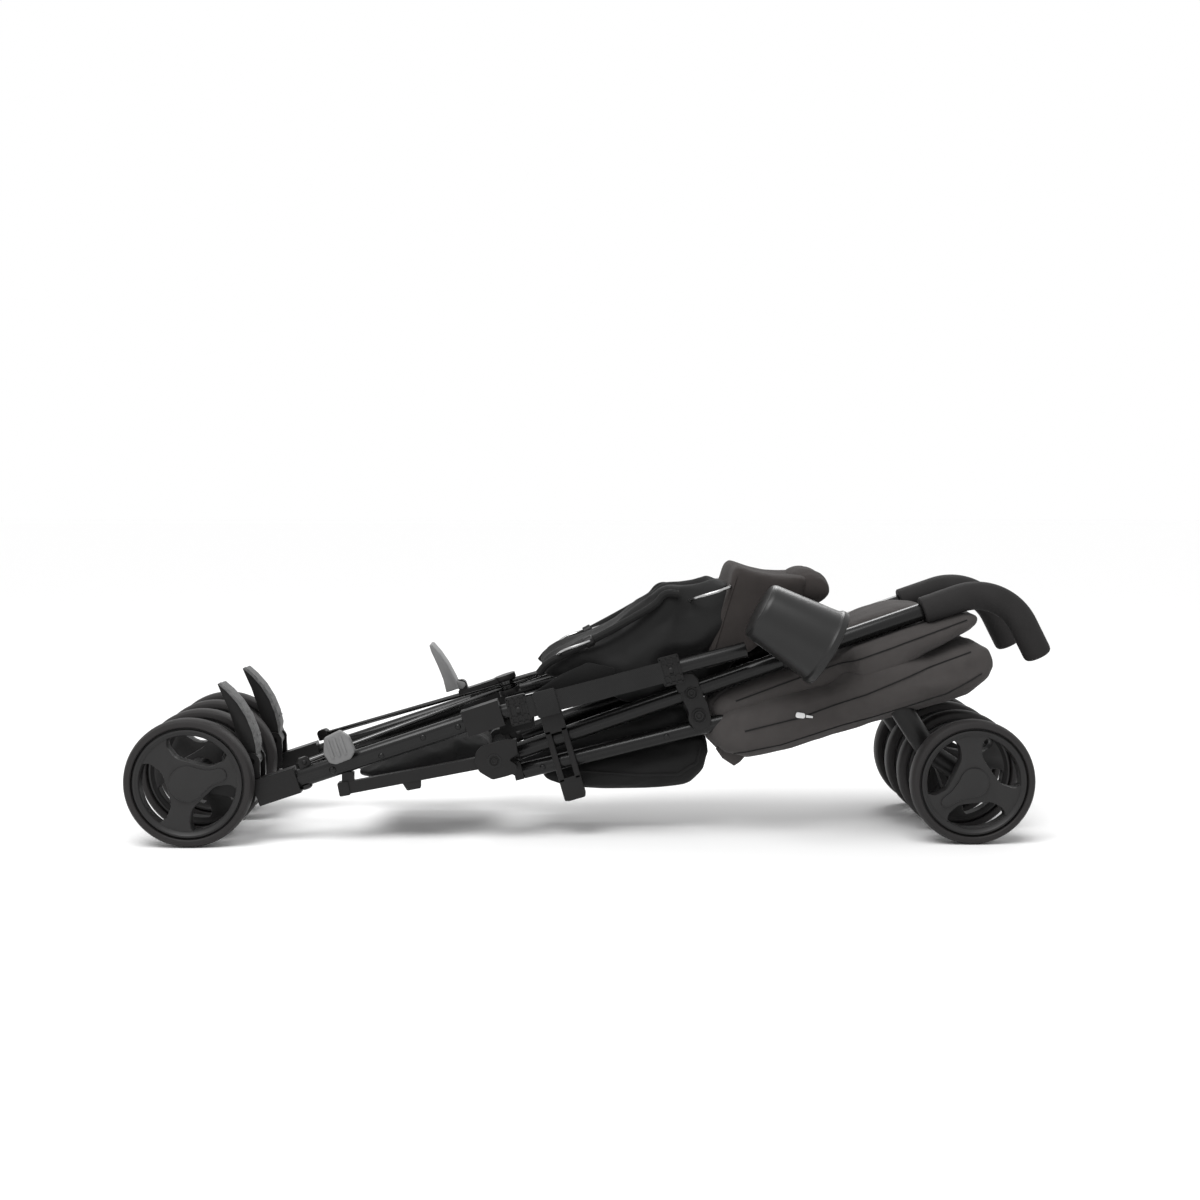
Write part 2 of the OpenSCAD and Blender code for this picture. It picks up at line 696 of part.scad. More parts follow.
module canopy_side(side) {
  color("#3a3a3c") sided(side) along(on_pusher(canopy_s, -canopy_n), pusher_tilt, side_in + side_t / 2)
    cloth(side_shares, canopy_l, -canopy_h, side_t / 2);
}

// Front frame and seat

module front_leg(side) {
  color("#2b2c2f") sided(side) along(front_start, front_tilt, inner_y)
    round_tube(front_l - socket_d / 2 + seat, front_d);
}

module front_knuckle(side) {
  run = front_start - hinge;
  slope = atan2(run[1], run[0]);
  color("#1c1c1e") sided(side) difference() {
    union() {
      for (y = [ear_in - ear_t, ear_out]) {
        cross_pin(hinge, y, y + ear_t, hinge_eye_d);
        along(hinge, slope, y) block(0, norm(run), 0, ear_t, -ear_arm_h / 2, ear_arm_h / 2);
      }
      along(front_start, front_tilt, 0)
        block(-front_block_l, 0, ear_in - ear_t, ear_out + ear_t, -ear_arm_h / 2, ear_arm_h / 2);
      along(front_start, front_tilt, inner_y)
        rod_x(-seat, plug_l, front_d - 2 * tube_wall - 2 * plug_gap);
    }
    cross_pin(hinge, 0, 2 * inner_y, hinge_pin_d + 2 * fit);
    along(front_start, front_tilt, inner_y) difference() {
      rod_x(0, plug_l, front_d + 2 * leg_w);
      rod_x(-cut, plug_l + cut, front_d - 2 * tube_wall - 2 * plug_gap);
    }
  }
}

module caster_socket(side) {
  leg_end = front_l - socket_d / 2 + seat;
  color("#1d1d1f") sided(side) difference() {
    union() {
      along(on_swivel(0), 180 - swivel_tilt, pair_y) rod_x(socket_from, socket_to, socket_d);
      along(front_start, front_tilt, 0)
        block(leg_end - adaptor_l, leg_end + adaptor_wall, inner_y - front_d / 2 - adaptor_wall, pair_y,
          -front_d / 2 - adaptor_wall, front_d / 2 + adaptor_wall);
    }
    along(front_start, front_tilt, inner_y) rod_x(0, leg_end, front_d + 2 * fit);
    along(on_swivel(0), 180 - swivel_tilt, pair_y) rod_x(0, king_top + seat, king_d + 2 * fit);
  }
}

module caster_fork(side) {
  gap_half = (twin_spacing - wheel_w) / 2 - housing_gap;
  run = on_swivel(stem_from) - front_axle;
  color("#1d1d1f") sided(side) difference() {
    union() {
      along(on_swivel(0), 180 - swivel_tilt, pair_y) {
        rod_x(stem_from, socket_from - play, stem_d);
        rod_x(stem_from, king_top, king_d);
      }
      along(front_axle, atan2(run[1], run[0]), pair_y) rod_x(0, norm(run), stem_d - 2 * seat);
      cross_pin(front_axle, pair_y - gap_half, pair_y + gap_half, fork_boss_d);
    }
    cross_pin(front_axle, 0, 2 * pair_y, axle_d + 2 * fit);
  }
}

module seat_sling() {
  color("#141416") along(on_front(sling_s, -sling_n), front_tilt, 0)
    cloth(sling_shares, sling_l, sling_h, inner_y - front_d / 2 - soft_gap);
}

module basket() {
  color("#121214") along(on_front(basket_s, -sling_n - soft_gap), front_tilt, 0)
    cloth(basket_shares, basket_l, -basket_h, inner_y - front_d / 2 - soft_gap);
}

placed() rear_leg(right);  // rear_leg_right
placed() rear_leg(left);  // rear_leg_left
placed() leg_sleeve(right);  // leg_sleeve_right
placed() leg_sleeve(left);  // leg_sleeve_left
placed() main_tube(right);  // main_tube_right
placed() main_tube(left);  // main_tube_left
placed() axle_housing(right);  // axle_housing_right
placed() axle_housing(left);  // axle_housing_left
placed() axle_pin(rear_axle, right);  // rear_axle_right
placed() axle_pin(rear_axle, left);  // rear_axle_left
placed() rims(rear_axle, rear_wheel_d, right);  // rear_rims_right
placed() rims(rear_axle, rear_wheel_d, left);  // rear_rims_left
placed() tyres(rear_axle, rear_wheel_d, right);  // rear_tyres_right
placed() tyres(rear_axle, rear_wheel_d, left);  // rear_tyres_left
placed() brake_pedal(right);  // brake_pedal_right
placed() brake_pedal(left);  // brake_pedal_left
placed() hinge_bar(right);  // hinge_bar_right
placed() hinge_bar(left);  // hinge_bar_left
placed() hinge_pin(right);  // hinge_pin_right
placed() hinge_pin(left);  // hinge_pin_left
placed() cross_hub();
placed() cross_bar(right);  // cross_bar_right
placed() cross_bar(left);  // cross_bar_left
placed() fold_pedal();
placed() lock_lever();
placed() fold_hook();
placed() strap_anchors();
placed() carry_strap();
placed() pusher_tube(right);  // pusher_tube_right
placed() pusher_tube(left);  // pusher_tube_left
placed() pusher_knuckle(right);  // pusher_knuckle_right
placed() pusher_knuckle(left);  // pusher_knuckle_left
placed() handle(right);  // handle_right
placed() handle(left);  // handle_left
placed() side_bracket(right);  // side_bracket_right
placed() side_bracket(left);  // side_bracket_left
placed() cup_clamp();
placed() cup_holder();
placed() seat_back();
placed() seat_back_top();
placed() canopy();
placed() canopy_side(right);  // canopy_side_right
placed() canopy_side(left);  // canopy_side_left
placed() front_leg(right);  // front_leg_right
placed() front_leg(left);  // front_leg_left
placed() front_knuckle(right);  // front_knuckle_right
placed() front_knuckle(left);  // front_knuckle_left
placed() caster_socket(right);  // caster_socket_right
placed() caster_socket(left);  // caster_socket_left
placed() caster_fork(right);  // caster_fork_right
placed() caster_fork(left);  // caster_fork_left
placed() axle_pin(front_axle, right);  // front_axle_right
placed() axle_pin(front_axle, left);  // front_axle_left
placed() rims(front_axle, front_wheel_d, right);  // front_rims_right
placed() rims(front_axle, front_wheel_d, left);  // front_rims_left
placed() tyres(front_axle, front_wheel_d, right);  // front_tyres_right
placed() tyres(front_axle, front_wheel_d, left);  // front_tyres_left
placed() seat_sling();
placed() basket();
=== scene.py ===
"""Folded umbrella stroller: finishes, wheels, grips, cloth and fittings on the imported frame."""
import math

import bmesh
import bpy
from mathutils import Matrix, Vector, noise
from mathutils.bvhtree import BVHTree


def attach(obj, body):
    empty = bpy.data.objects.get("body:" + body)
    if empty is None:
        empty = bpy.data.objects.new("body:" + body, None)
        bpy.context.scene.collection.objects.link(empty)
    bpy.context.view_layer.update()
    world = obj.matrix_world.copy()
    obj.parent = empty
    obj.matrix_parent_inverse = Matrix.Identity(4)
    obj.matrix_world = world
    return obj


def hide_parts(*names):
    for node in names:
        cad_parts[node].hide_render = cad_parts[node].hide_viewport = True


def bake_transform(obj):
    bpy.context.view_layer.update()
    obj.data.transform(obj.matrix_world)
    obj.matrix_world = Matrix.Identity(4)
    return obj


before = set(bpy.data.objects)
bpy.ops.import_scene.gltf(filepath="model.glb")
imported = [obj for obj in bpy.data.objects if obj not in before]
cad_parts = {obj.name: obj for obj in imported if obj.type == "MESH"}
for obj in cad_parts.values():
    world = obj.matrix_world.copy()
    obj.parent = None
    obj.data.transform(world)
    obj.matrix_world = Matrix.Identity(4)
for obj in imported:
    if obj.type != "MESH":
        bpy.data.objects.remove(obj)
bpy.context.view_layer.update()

# Lengths below are millimetres in the model's frame; a piece becomes metres when it is finished.
MM = 0.001
MID_Y = 22.75
X_SHIFT = -459.982
RIGHT, LEFT = -1, 1
SIDE_NAME = {RIGHT: "right", LEFT: "left"}
SIDES = (RIGHT, LEFT)


def slope(x, z, degrees):
    """A side frame: a point on the side view and the slope of the tube that starts there."""
    return x + X_SHIFT, z, math.radians(degrees)


def on(line, s, n, y=0.0):
    """The point s along a tube's slope and n above it."""
    x, z, a = line
    return Vector((x + s * math.cos(a) - n * math.sin(a), y, z + s * math.sin(a) + n * math.cos(a)))


def seat_on(line, s, n, y, turn=0.0):
    """The matrix of a place on a slope, whose X runs along it, turned further about Y by turn."""
    return Matrix.Translation(on(line, s, n, y)) @ Matrix.Rotation(-line[2] - math.radians(turn), 4, "Y")


def across(side, offset):
    """The y of a place that lies offset from the middle on one side."""
    return MID_Y + side * offset


def sided(name, side):
    return f"{name}_{SIDE_NAME[side]}"


LEG = slope(78, 59, 18.3)
MAIN = slope(332.45, 143.15, 14.5)
PUSHER = slope(372, 100, 19.1)
FRONT = slope(377, 77, 13.8)
HINGE_BAR = slope(345, 94, 10.6)
REAR_WHEEL_R, FRONT_WHEEL_R = 73.5, 71.5
REAR_AXLE, FRONT_AXLE = slope(0, REAR_WHEEL_R, 0), slope(892, FRONT_WHEEL_R, 0)
# From the middle to a leg, a pusher tube and a wheel pair, and from a pair's middle to each wheel
LEG_Y, PUSHER_Y, PAIR_Y, TWIN = 90, 66, 76, 38
# Along their slopes: the cross hub between the legs, the hook on the main tube, the bracket on the pusher
HUB_S, HOOK_S, BRACKET_S = 300, 75, 212


# Finishes: shared surface effects as node groups, then one material for each finish

def effect(name, inputs, outputs):
    """A node group with number inputs and the named outputs."""
    tree = bpy.data.node_groups.new(name, "ShaderNodeTree")
    for label, value in inputs:
        tree.interface.new_socket(label, in_out="INPUT", socket_type="NodeSocketFloat").default_value = value
    for label in outputs:
        tree.interface.new_socket(label, in_out="OUTPUT", socket_type="NodeSocketFloat")
    return tree, tree.nodes.new("NodeGroupInput"), tree.nodes.new("NodeGroupOutput")


def node(tree, kind, links=(), **values):
    """A node with its settings and sockets set; links pairs a socket name with an output."""
    made = tree.nodes.new(kind)
    for key, value in values.items():
        if hasattr(made, key) and key not in made.inputs:
            setattr(made, key, value)
        else:
            made.inputs[key.replace("_", " ")].default_value = value
    for label, output in links:
        tree.links.new(output, made.inputs[label])
    return made


def maths(tree, operation, *terms):
    """What a math node makes of the given outputs."""
    return node(tree, "ShaderNodeMath", enumerate(terms), operation=operation).outputs[0]


def moulded_effect():
    """Fine mould grain, slow cloudiness and light scuffs."""
    tree, given, out = effect("moulded_surface", [("Grain", 900.0), ("Scuff", 0.5), ("Cloud", 28.0)],
                              ["Shade", "Height", "Wear"])
    spot = node(tree, "ShaderNodeTexCoord").outputs["Object"]
    fine = node(tree, "ShaderNodeTexNoise", [("Vector", spot), ("Scale", given.outputs["Grain"])],
                Detail=3.0)
    cloud = node(tree, "ShaderNodeTexNoise", [("Vector", spot), ("Scale", given.outputs["Cloud"])],
                 Detail=4.0)
    long_ways = node(tree, "ShaderNodeVectorMath", [(0, spot)], operation="MULTIPLY")
    long_ways.inputs[1].default_value = (60.0, 420.0, 420.0)
    lines = node(tree, "ShaderNodeTexNoise", [("Vector", long_ways.outputs[0])], Scale=1.0, Detail=5.0)
    scratch = node(tree, "ShaderNodeMapRange", [("Value", lines.outputs[0])], From_Min=0.62, From_Max=0.78)
    worn = maths(tree, "MULTIPLY", scratch.outputs[0], given.outputs["Scuff"])
    tree.links.new(cloud.outputs[0], out.inputs["Shade"])
    tree.links.new(fine.outputs[0], out.inputs["Height"])
    tree.links.new(worn, out.inputs["Wear"])
    return tree


def woven_effect():
    """A plain weave of two crossing threads, with uneven yarn."""
    tree, given, out = effect("woven_cloth", [("Threads", 900.0), ("Slub", 0.6)],
                              ["Shade", "Height", "Wear"])
    spot = node(tree, "ShaderNodeTexCoord").outputs["Object"]
    split = node(tree, "ShaderNodeSeparateXYZ", [(0, spot)])
    crosswise = maths(tree, "ADD", split.outputs["Y"], split.outputs["Z"])
    waves = [maths(tree, "SINE", maths(tree, "MULTIPLY", thread, given.outputs["Threads"]))
             for thread in (split.outputs["X"], crosswise)]
    lift = node(tree, "ShaderNodeMapRange", [("Value", maths(tree, "MULTIPLY", *waves))], From_Min=-1.0)
    slub = node(tree, "ShaderNodeTexNoise", [("Vector", spot)], Scale=55.0, Detail=5.0)
    patch = node(tree, "ShaderNodeTexNoise", [("Vector", spot)], Scale=9.0, Detail=3.0)
    uneven = maths(tree, "MULTIPLY", slub.outputs[0], given.outputs["Slub"])
    shade = node(tree, "ShaderNodeMath", [(0, uneven), (1, lift.outputs[0])], operation="MULTIPLY_ADD")
    shade.inputs[2].default_value = 0.25
    tree.links.new(shade.outputs[0], out.inputs["Shade"])
    tree.links.new(lift.outputs[0], out.inputs["Height"])
    tree.links.new(patch.outputs[0], out.inputs["Wear"])
    return tree


EFFECTS = {"moulded": moulded_effect(), "woven": woven_effect()}


def surface(name, dark, light, rough, rough_worn, effect_name, bump, depth, values, **sockets):
    """A material whose colour runs from dark to light and whose roughness follows its wear."""
    made = bpy.data.materials.new(name)
    made.use_nodes = True
    tree = made.node_tree
    shader = tree.nodes["Principled BSDF"]
    group = tree.nodes.new("ShaderNodeGroup")
    group.node_tree = EFFECTS[effect_name]
    for label, value in values.items():
        group.inputs[label].default_value = value
    tone = node(tree, "ShaderNodeMix", data_type="RGBA")
    tree.links.new(group.outputs["Shade"], tone.inputs["Factor"])
    tone.inputs["A"].default_value = (*dark, 1.0)
    tone.inputs["B"].default_value = (*light, 1.0)
    gloss = node(tree, "ShaderNodeMapRange", [("Value", group.outputs["Wear"])],
                 To_Min=rough, To_Max=rough_worn)
    relief = node(tree, "ShaderNodeBump", [("Height", group.outputs["Height"])],
                  Strength=bump, Distance=depth)
    tree.links.new(tone.outputs["Result"], shader.inputs["Base Color"])
    tree.links.new(gloss.outputs[0], shader.inputs["Roughness"])
    tree.links.new(relief.outputs[0], shader.inputs["Normal"])
    for label, value in sockets.items():
        shader.inputs[label.replace("_", " ")].default_value = value
    return made


def grey(value, warm=1.0):
    return value * warm, value, value


FINISHES = {
    "frame_metal": surface("black_lacquer", grey(0.003), grey(0.008), 0.26, 0.5, "moulded", 0.05, 0.0002,
                           {"Grain": 1400.0, "Scuff": 0.35}, Coat_Weight=0.06, Coat_Roughness=0.12,
                           Specular_IOR_Level=0.24),
    "black_plastic": surface("black_plastic", grey(0.004, 1.05), grey(0.008, 1.05), 0.4, 0.6, "moulded", 0.25,
                             0.0003, {"Grain": 1100.0, "Scuff": 0.4}, Specular_IOR_Level=0.24),
    "cup_plastic": surface("satin_cup_plastic", grey(0.009), grey(0.014), 0.34, 0.46, "moulded", 0.15, 0.0002,
                           {"Grain": 1600.0, "Scuff": 0.25}, Specular_IOR_Level=0.3),
    "bare_steel": surface("bare_steel", grey(0.32), grey(0.48), 0.25, 0.45, "moulded", 0.08, 0.0002,
                          {"Grain": 1500.0, "Scuff": 0.8}, Metallic=1.0),
    "bar_metal": surface("dark_bar_metal", grey(0.05), grey(0.1), 0.2, 0.4, "moulded", 0.05, 0.0002,
                         {"Grain": 1400.0, "Scuff": 0.6}, Metallic=1.0),
    "rim_plastic": surface("charcoal_rim_plastic", grey(0.013, 1.03), grey(0.02, 1.03), 0.42, 0.6, "moulded",
                           0.3, 0.0003, {"Grain": 1000.0, "Scuff": 0.4}, Specular_IOR_Level=0.25),
    "tyre_foam": surface("tyre_foam", grey(0.014, 1.08), grey(0.021, 1.08), 0.55, 0.8, "moulded", 0.4, 0.0004,
                         {"Grain": 700.0, "Scuff": 0.6}, Specular_IOR_Level=0.22),
    "grey_plastic": surface("grey_pedal_plastic", grey(0.13), grey(0.19), 0.42, 0.6, "moulded", 0.35, 0.0003,
                            {"Grain": 900.0, "Scuff": 0.5}, Specular_IOR_Level=0.3),
    "grip_foam": surface("grip_foam", grey(0.013, 1.05), grey(0.026, 1.05), 0.75, 0.9, "moulded", 0.6, 0.0006,
                         {"Grain": 650.0, "Scuff": 0.3}, Specular_IOR_Level=0.15),
    "canopy_cloth": surface("charcoal_canopy_cloth", (0.036, 0.033, 0.032), (0.074, 0.068, 0.066), 0.8, 0.95,
                            "woven", 0.35, 0.0004, {"Threads": 5200.0, "Slub": 0.9}, Sheen_Weight=0.06,
                            Sheen_Roughness=0.5, Specular_IOR_Level=0.15),
    "tread_plastic": surface("mottled_tread_plastic", grey(0.03), grey(0.19), 0.6, 0.8, "moulded", 0.6,
                             0.0006, {"Grain": 420.0, "Scuff": 0.4, "Cloud": 260.0}, Specular_IOR_Level=0.2),
    "pull_plastic": surface("white_pull_plastic", grey(0.62), grey(0.74), 0.4, 0.55, "moulded", 0.1, 0.0002,
                            {"Grain": 1200.0, "Scuff": 0.3}),
    "seat_top_cloth": surface("brown_charcoal_cloth", (0.021, 0.018, 0.017), (0.047, 0.041, 0.039), 0.8, 0.95,
                              "woven", 0.35, 0.0004, {"Threads": 5200.0, "Slub": 0.9}, Sheen_Weight=0.05,
                              Sheen_Roughness=0.5, Specular_IOR_Level=0.15),
    "seat_cloth": surface("black_seat_cloth", grey(0.004), grey(0.011), 0.62, 0.85, "woven", 0.3, 0.0004,
                          {"Threads": 5600.0, "Slub": 0.8}, Sheen_Weight=0.03, Sheen_Roughness=0.4,
                          Specular_IOR_Level=0.2),
    "webbing": surface("black_webbing", grey(0.007), grey(0.02), 0.6, 0.8, "woven", 0.6, 0.0006,
                       {"Threads": 2600.0, "Slub": 0.7}, Specular_IOR_Level=0.2),
}


# Mesh helpers

# Edges that turn by more degrees than this stay sharp or are rounded
SHARP = 35


def fresh(bm, before):
    return [v for v in bm.verts if v not in before]


def place(bm, verts, matrix):
    bmesh.ops.transform(bm, matrix=matrix, verts=verts)


def soften(bm, verts, width, segments=2):
    """Rounds the sharp edges among these vertices."""
    inside = set(verts)
    edges = [e for e in bm.edges if e.verts[0] in inside and e.verts[1] in inside and len(e.link_faces) == 2
             and e.calc_face_angle(0.0) > math.radians(SHARP)]
    if edges:
        bmesh.ops.bevel(bm, geom=edges, offset=width, affect="EDGES", segments=segments, profile=0.5,
                        material=-1, clamp_overlap=True)


def lathe(bm, profile, matrix, steps, closed=False):
    """Turns a profile of (radius, height) points about the local Z axis."""
    before = set(bm.verts)
    verts = [bm.verts.new((r, 0, h)) for r, h in profile]
    ends = verts[1:] + verts[:1] if closed else verts[1:]
    edges = [bm.edges.new(pair) for pair in zip(verts, ends)]
    bmesh.ops.spin(bm, geom=verts + edges, cent=(0, 0, 0), axis=(0, 0, 1), dvec=(0, 0, 0), angle=2 * math.pi,
                   steps=steps, use_merge=True)
    made = fresh(bm, before)
    bmesh.ops.remove_doubles(bm, verts=made, dist=0.0005)
    place(bm, fresh(bm, before), matrix)


def oblong(left, low, right, high):
    return [(left, low), (right, low), (right, high), (left, high)]


def plate(bm, outline, depth, matrix, corner=0.0, edge=0.0, edge_segments=2):
    """A flat plate: its outline in local X and Z, its thickness along local Y."""
    before, faces_before = set(bm.verts), set(bm.faces)
    verts = [bm.verts.new((x, 0, z)) for x, z in outline]
    bm.faces.new(verts)
    if corner:
        bmesh.ops.bevel(bm, geom=verts, offset=corner, affect="VERTICES", segments=5, profile=0.5,
                        material=-1, clamp_overlap=True)
    flat = [f for f in bm.faces if f not in faces_before]
    lifted = bmesh.ops.extrude_face_region(bm, geom=flat)["geom"]
    bmesh.ops.translate(bm, vec=(0, depth, 0), verts=[g for g in lifted if isinstance(g, bmesh.types.BMVert)])
    made = fresh(bm, before)
    if edge:
        soften(bm, made, edge, edge_segments)
    place(bm, fresh(bm, before), matrix)


def rod(bm, a, b, radius):
    """A round rod between two points with eased ends."""
    before = set(bm.verts)
    run = Vector(b) - Vector(a)
    bmesh.ops.create_cone(bm, cap_ends=True, cap_tris=False, segments=20, radius1=radius, radius2=radius,
                          depth=run.length)
    soften(bm, fresh(bm, before), 0.6)
    turn = Vector((0, 0, 1)).rotation_difference(run).to_matrix().to_4x4()
    place(bm, fresh(bm, before), Matrix.Translation((Vector(a) + Vector(b)) / 2) @ turn)


def tube_along(bm, points, radius):
    """Round wire or piping along a smooth curve through the points."""
    data = bpy.data.curves.new("run", "CURVE")
    data.dimensions, data.bevel_depth = "3D", radius
    data.bevel_resolution, data.resolution_u = 3, 6
    data.use_fill_caps = True
    line = data.splines.new("BEZIER")
    line.bezier_points.add(len(points) - 1)
    for knot, point in zip(line.bezier_points, points):
        knot.co = point
        knot.handle_left_type = knot.handle_right_type = "AUTO"
    holder = bpy.data.objects.new("run", data)
    mesh = bpy.data.meshes.new_from_object(holder)
    bm.from_mesh(mesh)
    bpy.data.objects.remove(holder)
    bpy.data.meshes.remove(mesh)
    bpy.data.curves.remove(data)


def linked(name, data):
    """A new object in the scene."""
    obj = bpy.data.objects.new(name, data)
    bpy.context.scene.collection.objects.link(obj)
    return obj


def to_object(name, bm, finish, sharp=SHARP):
    """Closes a mesh, turns it to metres and gives it its finish."""
    bmesh.ops.remove_doubles(bm, verts=bm.verts, dist=0.001)
    bmesh.ops.recalc_face_normals(bm, faces=bm.faces)
    bmesh.ops.transform(bm, matrix=Matrix.Scale(MM, 4), verts=bm.verts)
    mesh = bpy.data.meshes.new(name)
    bm.to_mesh(mesh)
    bm.free()
    mesh.polygons.foreach_set("use_smooth", [True] * len(mesh.polygons))
    mesh.set_sharp_from_angle(angle=math.radians(sharp))
    mesh.materials.append(FINISHES[finish])
    obj = linked(name, mesh)
    return obj


def piece(name, bm, finish, body, stands_for=(), sharp=SHARP):
    """Finishes a rigid piece and sets it riding on its body."""
    obj = to_object(name, bm, finish, sharp)
    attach(obj, body)
    if stands_for:
        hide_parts(*stands_for)
    return obj


# Camera, light and floor

SUN_LEVEL, SKY_LEVEL = 1.5, 0.6
LAMPS = (("key_lamp", 10.0, 0.9, (-0.6, -0.9, 1.6), (0.0, 0.0, 0.1)),
         ("back_lamp", 10.0, 0.7, (0.5, 1.3, 1.4), (0.0, 0.0, 0.15)))


def set_camera():
    scene = bpy.context.scene
    scene.view_settings.view_transform = "Standard"
    camera = linked("camera", bpy.data.cameras.new("camera"))
    camera.data.lens, camera.data.sensor_width = 50.975, 36.0
    camera.location = (-0.0311, -2.0050, 0.4290)
    yaw, pitch = math.radians(1.112), math.radians(4.446)
    camera.rotation_euler = (math.pi / 2 - pitch, 0.0, -yaw)
    scene.camera = camera


def set_lamps():
    """A wide sun from above, a lamp over the front and one behind."""
    sun = bpy.data.lights.new("sky_sun", "SUN")
    sun.energy, sun.angle = SUN_LEVEL, math.radians(40)
    linked("sky_sun", sun).rotation_euler = (math.radians(24), math.radians(-14), 0.0)
    for name, energy, size, spot, aim in LAMPS:
        lamp = bpy.data.lights.new(name, "AREA")
        lamp.energy, lamp.size = energy, size
        holder = linked(name, lamp)
        holder.location = spot
        holder.rotation_euler = (Vector(aim) - Vector(spot)).to_track_quat("-Z", "Y").to_euler()


def set_floor():
    """Pale paper that runs out of the picture."""
    bm = bmesh.new()
    bmesh.ops.create_grid(bm, x_segments=1, y_segments=1, size=12.0)
    mesh = bpy.data.meshes.new("floor")
    bm.to_mesh(mesh)
    bm.free()
    floor = linked("floor", mesh)
    paper = bpy.data.materials.new("white_paper")
    paper.use_nodes = True
    shader = paper.node_tree.nodes["Principled BSDF"]
    shader.inputs["Base Color"].default_value = (0.97, 0.97, 0.97, 1.0)
    shader.inputs["Roughness"].default_value = 0.9
    shader.inputs["Specular IOR Level"].default_value = 0.1
    mesh.materials.append(paper)


def set_sky():
    """A white studio, bright where it is seen and dimmer as light."""
    world = bpy.data.worlds.new("studio")
    bpy.context.scene.world = world
    world.use_nodes = True
    tree = world.node_tree
    rays = tree.nodes.new("ShaderNodeLightPath").outputs
    seen = maths(tree, "MAXIMUM", rays["Is Camera Ray"], rays["Is Glossy Ray"])
    seen = maths(tree, "MAXIMUM", seen, rays["Is Transmission Ray"])
    level = node(tree, "ShaderNodeMapRange", [("Value", seen)], To_Min=SKY_LEVEL, To_Max=1.0)
    sky = tree.nodes["Background"]
    sky.inputs["Color"].default_value = (1.0, 1.0, 1.0, 1.0)
    tree.links.new(level.outputs[0], sky.inputs["Strength"])


set_camera()
set_lamps()
set_floor()
set_sky()


# Finishes of the frame's own parts

FRAME_FINISHES = {
    "frame_metal": ("rear_leg", "main_tube", "pusher_tube", "front_leg", "hinge_pin"),
    "black_plastic": ("leg_sleeve", "axle_housing", "cross_hub", "pusher_knuckle", "front_knuckle",
                      "cup_clamp", "caster_socket", "caster_fork", "hinge_bar"),
    "bare_steel": ("rear_axle", "front_axle"),
}


def finish_frame_nodes():
    """Gives each part its material and eases its edges."""
    for finish, starts in FRAME_FINISHES.items():
        for name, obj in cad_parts.items():
            if name.startswith(starts):
                obj.data.materials.clear()
                obj.data.materials.append(FINISHES[finish])
                weld = obj.modifiers.new("weld", "WELD")
                weld.merge_threshold = 1e-6
                ease = obj.modifiers.new("ease", "BEVEL")
                ease.width, ease.segments, ease.limit_method = 0.0008, 2, "ANGLE"
                ease.angle_limit, ease.use_clamp_overlap = math.radians(40), True
                ease.harden_normals = False


finish_frame_nodes()


# Wheels

# The hub covers' size, as a share of the rear ones
COVER_SHARE = {"rear": 1.0, "front": 0.82}


def polar(radius, degrees):
    a = math.radians(degrees)
    return radius * math.cos(a), radius * math.sin(a)


def tyre(bm, matrix, radius):
    """A wide rounded tread with a step where it meets the rim."""
    half = [(0.868, 8.0), (0.876, 11.4), (0.888, 12.3), (0.93, 12.5), (0.962, 11.6), (0.985, 9.2),
            (0.997, 5.5)]
    side = [(share * radius, h) for share, h in half]
    profile = side + [(radius, 0.0)] + [(r, -h) for r, h in reversed(side)]
    lathe(bm, profile, matrix, 96, closed=True)


def rim(bm, matrix, radius, phase, face):
    """A deep rim ring, three spokes that flare into it and a hub."""
    ring_in, ring_out = 0.742 * radius, 0.872 * radius
    ring = [(ring_in, 7.5), (ring_in + 1.2, 9.4), (ring_in + 3.0, 10.2), (ring_out - 4.6, 11.6),
            (ring_out - 2.6, 11.0), (ring_out - 2.2, 7.0), (ring_out, 6.4)]
    lathe(bm, ring + [(r, -h) for r, h in reversed(ring)], matrix, 96, closed=True)
    hub = [(5.4, 9.0), (16.0, 9.0), (17.0, 8.0), (17.0, -8.0), (16.0, -9.0), (5.4, -9.0)]
    lathe(bm, hub, matrix, 48, closed=True)
    sleeve = [(5.4, 12.2), (9.6, 12.2), (10.4, 11.4), (10.4, -11.4), (9.6, -12.2), (5.4, -12.2)]
    lathe(bm, [(r, h - 2.8 * face) for r, h in sleeve], matrix, 40, closed=True)
    flare = math.degrees(math.asin(17.5 / ring_in))
    outline = []
    for lead in (phase, phase + 120, phase + 240):
        outline += [polar(31.0, lead - 21), polar(0.9 * ring_in, lead - 16),
                    polar(ring_in + 2.5, lead - flare - 4), polar(ring_in + 3.2, lead),
                    polar(ring_in + 2.5, lead + flare + 4), polar(0.9 * ring_in, lead + 16),
                    polar(31.0, lead + 21), polar(23.5, lead + 60)]
    stand_up = matrix @ Matrix.Rotation(-math.pi / 2, 4, "X")
    plate(bm, outline, 18.0, stand_up @ Matrix.Translation((0, -9.0, 0)), corner=4.5, edge=1.2)


